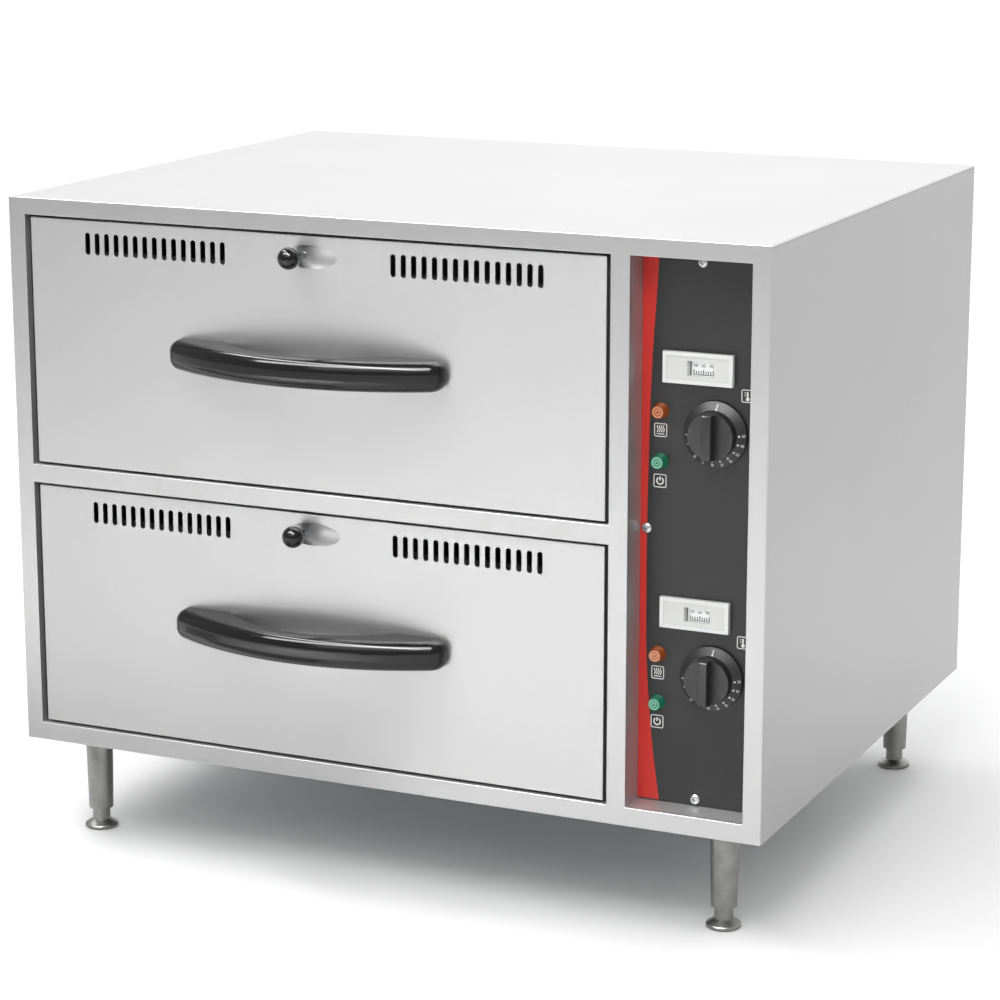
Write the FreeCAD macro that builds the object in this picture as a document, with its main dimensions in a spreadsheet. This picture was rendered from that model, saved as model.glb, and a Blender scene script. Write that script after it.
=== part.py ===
import FreeCAD, Part
import Sketcher
import math
import os
import re

# Freestanding warming drawer: a stainless cabinet on four levelling legs, with two drawers one above
# the other and a recessed control column at their right. X runs to the right, Y to the back, Z up.
# The origin is on the floor, in the middle of the box that holds the whole object.

doc = FreeCAD.newDocument("warming_drawer")

# Driving dimensions, in millimetres and counts
driving = {
    "cabinet_width": "750",
    "cabinet_depth": "600",
    "cabinet_height": "525",
    "leg_height": "98",
    "skin": "1.2",
    "bend_radius": "2.5",
    "edge_round": "0.8",
    "lip": "15",
    "play": "0.3",
    "overcut": "4",
    "top_rail": "16",
    "bottom_rail": "17.5",
    "mid_rail": "17.5",
    "side_stile": "17",
    "centre_stile": "18",
    "control_width": "110",
    "return_depth": "30",
    "rear_space": "80",
    "rear_wool": "40",
    "drawer_recess": "3",
    "side_gap": "4.4",
    "level_gap": "2.4",
    "front_depth": "24",
    "front_sheet": "1",
    "seal_setback": "5",
    "seal_depth": "8",
    "seal_play": "0.5",
    "vent_offset": "157",
    "vent_drop": "21.5",
    "vent_pitch": "10.15",
    "vent_count": "15",
    "vent_width": "5.2",
    "vent_height": "20.4",
    "eye_length": "56",
    "eye_height": "21",
    "eye_depth": "2.4",
    "eye_shift": "2.6",
    "eye_rise": "2.5",
    "stem_shift": "9.5",
    "stem_radius": "2.5",
    "stem_reach": "16",
    "ball_radius": "10",
    "ball_neck": "7",
    "ball_neck_length": "13",
    "damper_height": "34",
    "damper_travel": "5",
    "guide_lap": "3",
    "guide_width": "8",
    "handle_length": "276",
    "handle_reach": "52",
    "handle_end": "14",
    "handle_height": "28",
    "grip_length": "164",
    "grip_gap": "33",
    "handle_corner": "16",
    "handle_round": "11",
    "grip_round": "4",
    "handle_screw_spread": "112",
    "screw_radius": "2.5",
    "screw_head": "5",
    "screw_head_height": "3",
    "handle_screw_length": "16",
    "frame_rear_gap": "45",
    "frame_side": "60",
    "frame_sheet": "1.5",
    "rim_level": "167",
    "pan_length": "508",
    "pan_width": "381",
    "pan_rim": "11",
    "pan_depth": "127",
    "pan_sheet": "1",
    "pan_draft": "4",
    "pan_corner": "42",
    "pan_bottom": "20",
    "rim_corner": "50",
    "slide_rear_gap": "41",
    "slide_height": "45",
    "slide_width": "12.7",
    "slide_sheet": "1.2",
    "slide_start": "9",
    "heater_radius": "4",
    "heater_lift": "18",
    "heater_pitch": "90",
    "heater_margin": "70",
    "heater_tail": "16",
    "clip_width": "12",
    "overlay_sheet": "0.5",
    "panel_margin": "8",
    "panel_screw_edge": "6.5",
    "panel_mid_level": "248.5",
    "thermometer_width": "64",
    "thermometer_height": "27.5",
    "thermometer_proud": "5",
    "thermometer_back": "18",
    "thermometer_rim": "3.5",
    "window_width": "24",
    "window_height": "13",
    "window_shift": "2.5",
    "window_depth": "4",
    "window_sheet": "1",
    "pointer_width": "1.2",
    "pointer_travel": "20",
    "control_pitch": "218",
    "thermometer_shift": "2",
    "thermometer_level": "175.5",
    "knob_offset": "69",
    "knob_gap": "1",
    "skirt_radius": "29",
    "skirt_height": "6",
    "skirt_edge": "2",
    "knob_radius": "21",
    "knob_height": "18",
    "knob_bar": "8",
    "knob_scoop": "10",
    "knob_level": "119.5",
    "shaft_radius": "3",
    "shaft_play": "0.05",
    "shaft_depth": "9",
    "bush_radius": "5",
    "thermostat_width": "42",
    "thermostat_height": "34",
    "thermostat_depth": "28",
    "capillary_radius": "1.2",
    "capillary_setback": "24",
    "bulb_radius": "3",
    "bulb_length": "90",
    "bulb_drop": "14",
    "lamp_offset": "18",
    "lamp_radius": "7.5",
    "lamp_face": "5.5",
    "lamp_proud": "8",
    "lamp_body": "6",
    "lamp_back": "22",
    "amber_level": "135.5",
    "green_level": "91",
    "leg_inset": "50",
    "leg_setback": "48",
    "leg_top": "13.5",
    "leg_bottom": "11.75",
    "foot_height": "20",
    "foot_flange": "16",
    "foot_flange_height": "4",
    "foot_cone": "4",
    "foot_neck": "8.5",
    "foot_stud": "6",
    "foot_stud_length": "45",
    "leg_stud": "5",
    "leg_stud_length": "9",
    "foot_bore_depth": "48",
    "leg_plate": "56",
    "leg_plate_height": "5",
    "cover_screw_radius": "3.5",
    "cover_screw_height": "2.2",
    "cover_screw_edge": "8",
    "cover_screw_rise": "52",
    "cover_screw_spread": "225",
    "cover_screw_crown": "1.8",
    "louvre_count": "8",
    "louvre_pitch": "14",
    "louvre_width": "60",
    "louvre_height": "5",
    "louvre_level": "330",
    "gland_reach": "18",
    "gland_nut_length": "11",
    "gland_mouth": "7",
    "gland_radius": "12",
    "gland_thread": "10",
    "gland_bore": "4.5",
    "gland_inside": "14",
    "gland_level": "60",
    "terminal_length": "90",
    "terminal_height": "26",
    "terminal_width": "20",
    "terminal_poles": "5",
    "pole_gap": "9",
    "pole_depth": "10",
}

# Places that follow from the driving dimensions
layout = {
    "front_y": "(handle_reach - drawer_recess - cabinet_depth - gland_reach) / 2",
    "rear_y": "front_y + cabinet_depth",
    "top_z": "leg_height + cabinet_height",
    "opening_width": "cabinet_width - 2 * side_stile - centre_stile - control_width",
    "opening_height": "(cabinet_height - top_rail - bottom_rail - mid_rail) / 2",
    "opening_x": "side_stile - cabinet_width / 2",
    "drawer_x": "opening_x + opening_width / 2",
    "lower_z": "leg_height + bottom_rail",
    "upper_z": "lower_z + opening_height + mid_rail",
    "control_x": "cabinet_width / 2 - side_stile - control_width",
    "control_height": "2 * opening_height + mid_rail",
    "panel_y": "front_y + return_depth",
    "cavity_depth": "cabinet_depth - return_depth - rear_space",
    "cavity_end": "panel_y + cavity_depth",
    "door_y": "front_y + drawer_recess",
    "front_width": "opening_width - 2 * side_gap",
    "front_height": "opening_height - 2 * level_gap",
    "vent_level": "front_height / 2 - vent_drop",
    "damper_y": "front_sheet + play",
    "bridge_y": "front_sheet + eye_depth + play",
    "eye_level": "vent_level + eye_rise",
    "eye_tube": "(eye_height ^ 2 / 4 + eye_depth ^ 2) / (2 * eye_depth)",
    "eye_sweep": "(eye_length ^ 2 / 4 + eye_depth ^ 2) / (2 * eye_depth)",
    "frame_width": "opening_width - 2 * slide_width",
    "frame_depth": "cavity_depth - frame_rear_gap",
    "slide_level": "rim_level - frame_side / 2",
    "slide_length": "cavity_depth - slide_start - slide_rear_gap",
    "knob_x": "control_x + knob_offset",
    "lamp_x": "control_x + lamp_offset",
    "gauge_x": "control_x + control_width / 2 - thermometer_shift",
    "window_x": "gauge_x + window_shift",
    "leg_x": "cabinet_width / 2 - leg_inset",
    "leg_front": "front_y + leg_setback",
    "leg_rear": "rear_y - leg_setback",
    "gland_x": "control_x + control_width / 2",
    "heater_front": "panel_y + (cavity_depth - 3 * heater_pitch) / 2",
}

sizes = doc.addObject("Spreadsheet::Sheet", "sizes")
for row, (alias, number) in enumerate(driving.items(), start=1):
    sizes.set(f"A{row}", alias)
    sizes.set(f"B{row}", number)
    sizes.setAlias(f"B{row}", alias)

NAME = re.compile(r"[a-z][a-z_]+")


def bound(text):
    """Turns a formula on the names above into one that the document can follow."""

    def owner(match):
        word = match.group()
        if word in driving:
            return "sizes." + word
        if word in layout:
            return "places." + word
        return word

    return NAME.sub(owner, text)


places = doc.addObject("Spreadsheet::Sheet", "places")
for row, (alias, formula) in enumerate(layout.items(), start=1):
    places.set(f"A{row}", alias)
    places.set(f"B{row}", "=" + bound(formula).replace("places.", ""))
    places.setAlias(f"B{row}", alias)
doc.recompute()

parts = []


def number_of(text):
    """The present value of a formula."""
    return float(sizes.evalExpression(bound(text)))


def finished(piece, node):
    """Names a piece of the object and lists it for writing."""
    piece.Label = node
    parts.append(piece)
    return piece


def place(piece, x, y, z):
    """Ties a piece's place to formulas."""
    piece.setExpression("Placement.Base.x", bound(x))
    piece.setExpression("Placement.Base.y", bound(y))
    piece.setExpression("Placement.Base.z", bound(z))
    return piece


def block(name, at, size):
    """A box from its lowest corner and its three sides."""
    piece = doc.addObject("Part::Box", name)
    piece.setExpression("Length", bound(size[0]))
    piece.setExpression("Width", bound(size[1]))
    piece.setExpression("Height", bound(size[2]))
    return place(piece, *at)


TURN = {
    "x": FreeCAD.Rotation(FreeCAD.Vector(0, 1, 0), 90),
    "y": FreeCAD.Rotation(FreeCAD.Vector(1, 0, 0), -90),
    "z": FreeCAD.Rotation(),
}


def rod(name, at, axis, radius, length):
    """A cylinder that runs from a point along an axis."""
    piece = doc.addObject("Part::Cylinder", name)
    piece.Placement = FreeCAD.Placement(FreeCAD.Vector(), TURN[axis])
    piece.setExpression("Radius", bound(radius))
    piece.setExpression("Height", bound(length))
    return place(piece, *at)


def cone(name, at, axis, radius, far_radius, length):
    """A cone frustum that runs from a point along an axis."""
    piece = doc.addObject("Part::Cone", name)
    piece.Placement = FreeCAD.Placement(FreeCAD.Vector(), TURN[axis])
    piece.setExpression("Radius1", bound(radius))
    piece.setExpression("Radius2", bound(far_radius))
    piece.setExpression("Height", bound(length))
    return place(piece, *at)


def ball(name, at, radius):
    """A sphere about a point."""
    piece = doc.addObject("Part::Sphere", name)
    piece.setExpression("Radius", bound(radius))
    return place(piece, *at)


def hoop(name, at, radius, tube):
    """A torus about an upright axis through a point."""
    piece = doc.addObject("Part::Torus", name)
    piece.setExpression("Radius1", bound(radius))
    piece.setExpression("Radius2", bound(tube))
    return place(piece, *at)


def fuse(name, pieces):
    """Joins pieces that are one solid."""
    piece = doc.addObject("Part::MultiFuse", name)
    piece.Shapes = pieces
    piece.Refine = True
    return piece


def cut(name, base, tools):
    """Takes tools away from a base."""
    piece = doc.addObject("Part::Cut", name)
    piece.Base = base
    piece.Tool = tools[0] if len(tools) == 1 else fuse(name + "_tools", tools)
    return piece


def group(name, pieces):
    """Like pieces that share a node as separate solids."""
    piece = doc.addObject("Part::Compound", name)
    piece.Links = pieces
    return piece


def body(name):
    """An empty body."""
    return doc.addObject("PartDesign::Body", name)


def sketch_on(owner, name, role, offset="0"):
    """A sketch on a plane of its body, moved along the plane's normal."""
    sketch = owner.newObject("Sketcher::SketchObject", name)
    plane = next(feature for feature in owner.Origin.OriginFeatures if feature.Role == role)
    sketch.AttachmentSupport = [(plane, "")]
    sketch.MapMode = "FlatFace"
    sketch.setExpression("AttachmentOffset.Base.z", bound(offset))
    return sketch


def hold(sketch, kind, geometry, point, formula):
    """Ties one coordinate of a sketch point to a formula."""
    rule = Sketcher.Constraint(kind, -1, 1, geometry, point, number_of(formula))
    index = sketch.addConstraint(rule)
    sketch.setExpression(f"Constraints[{index}]", bound(formula))


def pin(sketch, geometry, point, u, v):
    """Ties a point of a sketch to formulas for its two coordinates."""
    hold(sketch, "DistanceX", geometry, point, u)
    hold(sketch, "DistanceY", geometry, point, v)


def set_radius(sketch, geometry, formula):
    """Ties the radius of a circle or an arc to a formula."""
    index = sketch.addConstraint(Sketcher.Constraint("Radius", geometry, number_of(formula)))
    sketch.setExpression(f"Constraints[{index}]", bound(formula))


def point_of(u, v):
    """The present place of a sketch point."""
    return FreeCAD.Vector(number_of(u), number_of(v), 0)


def polygon(sketch, corners):
    """A closed outline of straight lines through corners given by formulas."""
    first = sketch.GeometryCount
    points = [point_of(u, v) for u, v in corners]
    count = len(corners)
    for index in range(count):
        sketch.addGeometry(Part.LineSegment(points[index], points[(index + 1) % count]))
    for index in range(count):
        following = first + (index + 1) % count
        sketch.addConstraint(Sketcher.Constraint("Coincident", first + index, 2, following, 1))
    for index, (u, v) in enumerate(corners):
        pin(sketch, first + index, 1, u, v)


def rectangle(sketch, left, bottom, right, top):
    """A closed rectangle."""
    polygon(sketch, [(left, bottom), (right, bottom), (right, top), (left, top)])


def centred(sketch, width, height, u="0", v="0"):
    """A rectangle about a point."""
    rectangle(
        sketch,
        f"{u} - ({width}) / 2",
        f"{v} - ({height}) / 2",
        f"{u} + ({width}) / 2",
        f"{v} + ({height}) / 2",
    )


def circle(sketch, u, v, radius):
    """A circle about a point."""
    shape = Part.Circle(point_of(u, v), FreeCAD.Vector(0, 0, 1), number_of(radius))
    index = sketch.addGeometry(shape)
    pin(sketch, index, 3, u, v)
    set_radius(sketch, index, radius)


def bow(sketch, start, end, kind, centre):
    """An arc from start to end, anticlockwise, about a centre level with the middle of its chord."""
    first = point_of(*start)
    last = point_of(*end)
    middle = (first + last) / 2
    if kind == "DistanceX":
        middle.x = number_of(centre)
    else:
        middle.y = number_of(centre)
    rim = Part.Circle(middle, FreeCAD.Vector(0, 0, 1), middle.distanceToPoint(first))
    angles = [math.atan2(point.y - middle.y, point.x - middle.x) for point in (first, last)]
    if angles[1] <= angles[0]:
        angles[1] += 2 * math.pi
    index = sketch.addGeometry(Part.ArcOfCircle(rim, *angles))
    pin(sketch, index, 1, *start)
    pin(sketch, index, 2, *end)
    hold(sketch, kind, index, 3, centre)


def line(sketch, start, end):
    """A straight line between two points given by formulas."""
    index = sketch.addGeometry(Part.LineSegment(point_of(*start), point_of(*end)))
    pin(sketch, index, 1, *start)
    pin(sketch, index, 2, *end)


def pad(owner, sketch, length, forward=True):
    """Gives a sketch a thickness, along its normal or against it."""
    feature = owner.newObject("PartDesign::Pad", sketch.Name + "_pad")
    feature.Profile = sketch
    feature.setExpression("Length", bound(length))
    feature.Reversed = not forward
    return feature


def pocket(owner, sketch, length, forward=False):
    """Cuts a sketch into the solid, against its normal or along it."""
    feature = owner.newObject("PartDesign::Pocket", sketch.Name + "_pocket")
    feature.Profile = sketch
    feature.setExpression("Length", bound(length))
    feature.Reversed = forward
    return feature


def row_of(owner, feature, sketch, pitch, count):
    """Repeats a feature along its sketch's first axis."""
    pattern = owner.newObject("PartDesign::LinearPattern", feature.Name + "_row")
    pattern.Originals = [feature]
    pattern.Direction = (sketch, ["H_Axis"])
    pattern.setExpression("Length", bound(f"({pitch}) * ({count} - 1)"))
    pattern.setExpression("Occurrences", bound(count))
    owner.Tip = pattern
    return pattern


def rounded(owner, feature, radius, chosen):
    """Rounds the edges of a feature that a test picks out."""
    doc.recompute()
    edges = feature.Shape.Edges
    names = [f"Edge{index}" for index, edge in enumerate(edges, start=1) if chosen(edge)]
    fillet = owner.newObject("PartDesign::Fillet", feature.Name + "_round")
    fillet.Base = (feature, names)
    fillet.setExpression("Radius", bound(radius))
    owner.Tip = fillet
    return fillet


def lies_at(edge, axis, level):
    """Whether an edge lies wholly at a level along an axis."""
    box = edge.BoundBox
    low = getattr(box, axis + "Min")
    high = getattr(box, axis + "Max")
    return abs(low - level) < 1e-4 and abs(high - level) < 1e-4


def runs_along(edge, axis):
    """Whether an edge is a straight line along an axis."""
    box = edge.BoundBox
    spans = {"X": box.XLength, "Y": box.YLength, "Z": box.ZLength}
    own = spans.pop(axis)
    return own > 1e-3 and max(spans.values()) < 1e-4


def drawn(name, inset, top, corner, bottom_round):
    """The sloping block of a food pan, with rounded corners, hanging from a level."""
    owner = body(name)
    outline = sketch_on(owner, name + "_outline", "XY_Plane", top)
    centred(outline, f"pan_length - 2 * {inset}", f"pan_width - 2 * {inset}")
    walls = pad(owner, outline, "pan_depth", forward=False)
    walls.setExpression("TaperAngle", bound("-pan_draft"))
    depth = number_of("pan_depth")
    base = number_of(top) - depth
    upright = rounded(owner, walls, corner, lambda edge: edge.BoundBox.ZLength > depth / 2)
    rounded(owner, upright, bottom_round, lambda edge: lies_at(edge, "Z", base))
    return owner


# Outer wrap: one sheet bent over the top and down both sides, with lips for the bottom and the back
wrap = body("outer_wrap")
wrap_outline = sketch_on(wrap, "wrap_outline", "XZ_Plane")
polygon(
    wrap_outline,
    [
        ("-cabinet_width / 2", "0"),
        ("-cabinet_width / 2", "cabinet_height"),
        ("cabinet_width / 2", "cabinet_height"),
        ("cabinet_width / 2", "0"),
        ("cabinet_width / 2 - skin", "0"),
        ("cabinet_width / 2 - skin", "cabinet_height - skin"),
        ("skin - cabinet_width / 2", "cabinet_height - skin"),
        ("skin - cabinet_width / 2", "0"),
    ],
)
wrap_sheet = pad(wrap, wrap_outline, "cabinet_depth - skin", forward=False)
half_width = number_of("cabinet_width / 2")
cabinet_height = number_of("cabinet_height")


def on_wrap_bend(edge):
    """The long outer edges where the top turns into the sides."""
    at_top = lies_at(edge, "Z", cabinet_height)
    at_side = lies_at(edge, "X", half_width) or lies_at(edge, "X", -half_width)
    return runs_along(edge, "Y") and at_top and at_side


rounded(wrap, wrap_sheet, "bend_radius", on_wrap_bend)
bottom_lips = sketch_on(wrap, "bottom_lips", "XY_Plane")
lip_end = "cabinet_depth - 2 * skin - play"
rectangle(bottom_lips, "-cabinet_width / 2", "0", "lip - cabinet_width / 2", lip_end)
rectangle(bottom_lips, "cabinet_width / 2 - lip", "0", "cabinet_width / 2", lip_end)
pad(wrap, bottom_lips, "skin")
rear_lips = sketch_on(wrap, "rear_lips", "XZ_Plane", "3 * skin - cabinet_depth")
polygon(
    rear_lips,
    [
        ("skin / 2 - cabinet_width / 2", "0"),
        ("skin / 2 - cabinet_width / 2", "cabinet_height - skin / 2"),
        ("cabinet_width / 2 - skin / 2", "cabinet_height - skin / 2"),
        ("cabinet_width / 2 - skin / 2", "0"),
        ("cabinet_width / 2 - lip", "0"),
        ("cabinet_width / 2 - lip", "cabinet_height - lip"),
        ("lip - cabinet_width / 2", "cabinet_height - lip"),
        ("lip - cabinet_width / 2", "0"),
    ],
)
pad(wrap, rear_lips, "skin", forward=False)
place(wrap, "0", "front_y + skin", "leg_height")
finished(wrap, "outer_wrap")

# Front frame: a welded face with two drawer openings and a control opening, each with a deep return
frame = body("front_frame")
openings = [
    ("opening_x", "lower_z - leg_height", "opening_width", "opening_height"),
    ("opening_x", "upper_z - leg_height", "opening_width", "opening_height"),
    ("control_x", "lower_z - leg_height", "control_width", "control_height"),
]
face = sketch_on(frame, "frame_face", "XZ_Plane")
rectangle(face, "-cabinet_width / 2", "0", "cabinet_width / 2", "cabinet_height")
for left, bottom, width, height in openings:
    rectangle(face, left, bottom, f"{left} + {width}", f"{bottom} + {height}")
face_sheet = pad(frame, face, "skin", forward=False)
returns = sketch_on(frame, "frame_returns", "XZ_Plane", "-skin / 2")
for left, bottom, width, height in openings:
    right = f"{left} + {width}"
    top = f"{bottom} + {height}"
    rectangle(returns, left, bottom, right, top)
    rectangle(returns, f"{left} - skin", f"{bottom} - skin", f"{right} + skin", f"{top} + skin")
frame_return = pad(frame, returns, "return_depth - skin / 2", forward=False)
rounded(frame, frame_return, "edge_round", lambda edge: lies_at(edge, "Y", 0))
place(frame, "0", "front_y", "leg_height")
finished(frame, "front_frame")

# Bottom panel: lies on the wrap's lips and carries the legs
bottom = body("bottom_panel")
bottom_outline = sketch_on(bottom, "bottom_outline", "XY_Plane")
rectangle(
    bottom_outline,
    "skin - cabinet_width / 2",
    "skin",
    "cabinet_width / 2 - skin",
    "cabinet_depth - 2 * skin",
)
for across in ("-leg_x", "leg_x"):
    for along in ("leg_setback", "cabinet_depth - leg_setback"):
        circle(bottom_outline, across, along, "leg_stud")
pad(bottom, bottom_outline, "skin")
place(bottom, "0", "front_y", "leg_height + skin")
finished(bottom, "bottom_panel")

# Rear cover: a flat sheet on the wrap's lips, with louvres behind the control compartment
cover = body("rear_cover")
cover_outline = sketch_on(cover, "cover_outline", "XZ_Plane")
rectangle(
    cover_outline,
    "skin + play - cabinet_width / 2",
    "play",
    "cabinet_width / 2 - skin - play",
    "cabinet_height - skin - play",
)
circle(cover_outline, "gland_x", "gland_level", "gland_thread")
pad(cover, cover_outline, "skin", forward=False)
louvre = sketch_on(cover, "louvre", "XZ_Plane")
centred(louvre, "louvre_width", "louvre_height", "gland_x", "louvre_level")
louvre_cut = pocket(cover, louvre, "skin")
louvres = cover.newObject("PartDesign::LinearPattern", "louvre_rows")
louvres.Originals = [louvre_cut]
louvres.Direction = (louvre, ["V_Axis"])
louvres.setExpression("Length", bound("louvre_pitch * (louvre_count - 1)"))
louvres.setExpression("Occurrences", bound("louvre_count"))
cover.Tip = louvres
place(cover, "0", "rear_y - skin", "leg_height")
finished(cover, "rear_cover")

cover_screws = []
screw_side = "(cabinet_width / 2 - cover_screw_edge)"
screw_rows = ("cover_screw_rise", "cabinet_height / 2", "cabinet_height - cover_screw_rise")
cover_spots = [(f"-{screw_side}", f"leg_height + {rise}") for rise in screw_rows]
cover_spots += [(screw_side, f"leg_height + {rise}") for rise in screw_rows]
for across in ("-cover_screw_spread", "0", "cover_screw_spread"):
    cover_spots.append((across, "top_z - cover_screw_edge"))
for index, (x, z) in enumerate(cover_spots):
    screw = cone(
        f"cover_screw_{index}",
        (x, "rear_y", z),
        "y",
        "cover_screw_radius",
        "cover_screw_crown",
        "cover_screw_height",
    )
    cover_screws.append(screw)
finished(group("rear_cover_screws", cover_screws), "rear_cover_screws")

# Cable gland: a domed nut outside and a thread through the rear cover, open for the mains lead
gland_at = ("gland_x", "rear_y", "leg_height + gland_level")
gland_nut = rod("gland_nut", gland_at, "y", "gland_radius", "gland_nut_length")
gland_dome = cone(
    "gland_dome",
    ("gland_x", "rear_y + gland_nut_length", "leg_height + gland_level"),
    "y",
    "gland_radius",
    "gland_mouth",
    "gland_reach - gland_nut_length",
)
gland_neck = rod(
    "gland_neck",
    ("gland_x", "rear_y - skin - gland_inside", "leg_height + gland_level"),
    "y",
    "gland_thread",
    "skin + gland_inside",
)
gland_hole = rod(
    "gland_hole",
    ("gland_x", "rear_y - skin - gland_inside - overcut", "leg_height + gland_level"),
    "y",
    "gland_bore",
    "gland_reach + gland_inside + skin + 2 * overcut",
)
gland_solid = fuse("gland_solid", [gland_nut, gland_dome, gland_neck])
finished(cut("cable_gland", gland_solid, [gland_hole]), "cable_gland")

# Legs, the plates that their studs screw into, and the levelling feet
leg_places = {
    "front_left": ("-leg_x", "leg_front"),
    "front_right": ("leg_x", "leg_front"),
    "rear_left": ("-leg_x", "leg_rear"),
    "rear_right": ("leg_x", "leg_rear"),
}
legs = []
leg_plates = []
for corner, (x, y) in leg_places.items():
    tube = cone(
        f"{corner}_tube",
        (x, y, "foot_height"),
        "z",
        "leg_bottom",
        "leg_top",
        "leg_height + skin - foot_height",
    )
    stud = rod(f"{corner}_leg_stud", (x, y, "leg_height"), "z", "leg_stud", "skin + leg_stud_length")
    bore = rod(
        f"{corner}_leg_bore",
        (x, y, "foot_height - overcut"),
        "z",
        "foot_stud + shaft_play",
        "foot_bore_depth + overcut",
    )
    legs.append(cut(f"{corner}_leg", fuse(f"{corner}_leg_solid", [tube, stud]), [bore]))
    plate = block(
        f"{corner}_plate",
        (f"{x} - leg_plate / 2", f"{y} - leg_plate / 2", "leg_height + 2 * skin"),
        ("leg_plate", "leg_plate", "leg_plate_height"),
    )
    hole = rod(
        f"{corner}_plate_hole",
        (x, y, "leg_height"),
        "z",
        "leg_stud",
        "2 * skin + leg_plate_height + overcut",
    )
    leg_plates.append(cut(f"{corner}_leg_plate", plate, [hole]))

    foot = body(f"{corner}_foot")
    profile = sketch_on(foot, f"{corner}_foot_profile", "XZ_Plane")
    polygon(
        profile,
        [
            ("0", "0"),
            ("foot_flange - edge_round", "0"),
            ("foot_flange", "edge_round"),
            ("foot_flange", "foot_flange_height - edge_round"),
            ("foot_flange - edge_round", "foot_flange_height"),
            ("foot_neck", "foot_flange_height + foot_cone"),
            ("foot_neck", "foot_height - play"),
            ("foot_stud", "foot_height - play"),
            ("foot_stud", "foot_height + foot_stud_length"),
            ("0", "foot_height + foot_stud_length"),
        ],
    )
    turned = foot.newObject("PartDesign::Revolution", f"{corner}_foot_turned")
    turned.Profile = profile
    turned.ReferenceAxis = (profile, ["V_Axis"])
    turned.Angle = 360
    place(foot, x, y, "0")
    finished(foot, f"{corner}_foot")
finished(group("legs", legs), "legs")
finished(group("leg_plates", leg_plates), "leg_plates")

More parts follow.
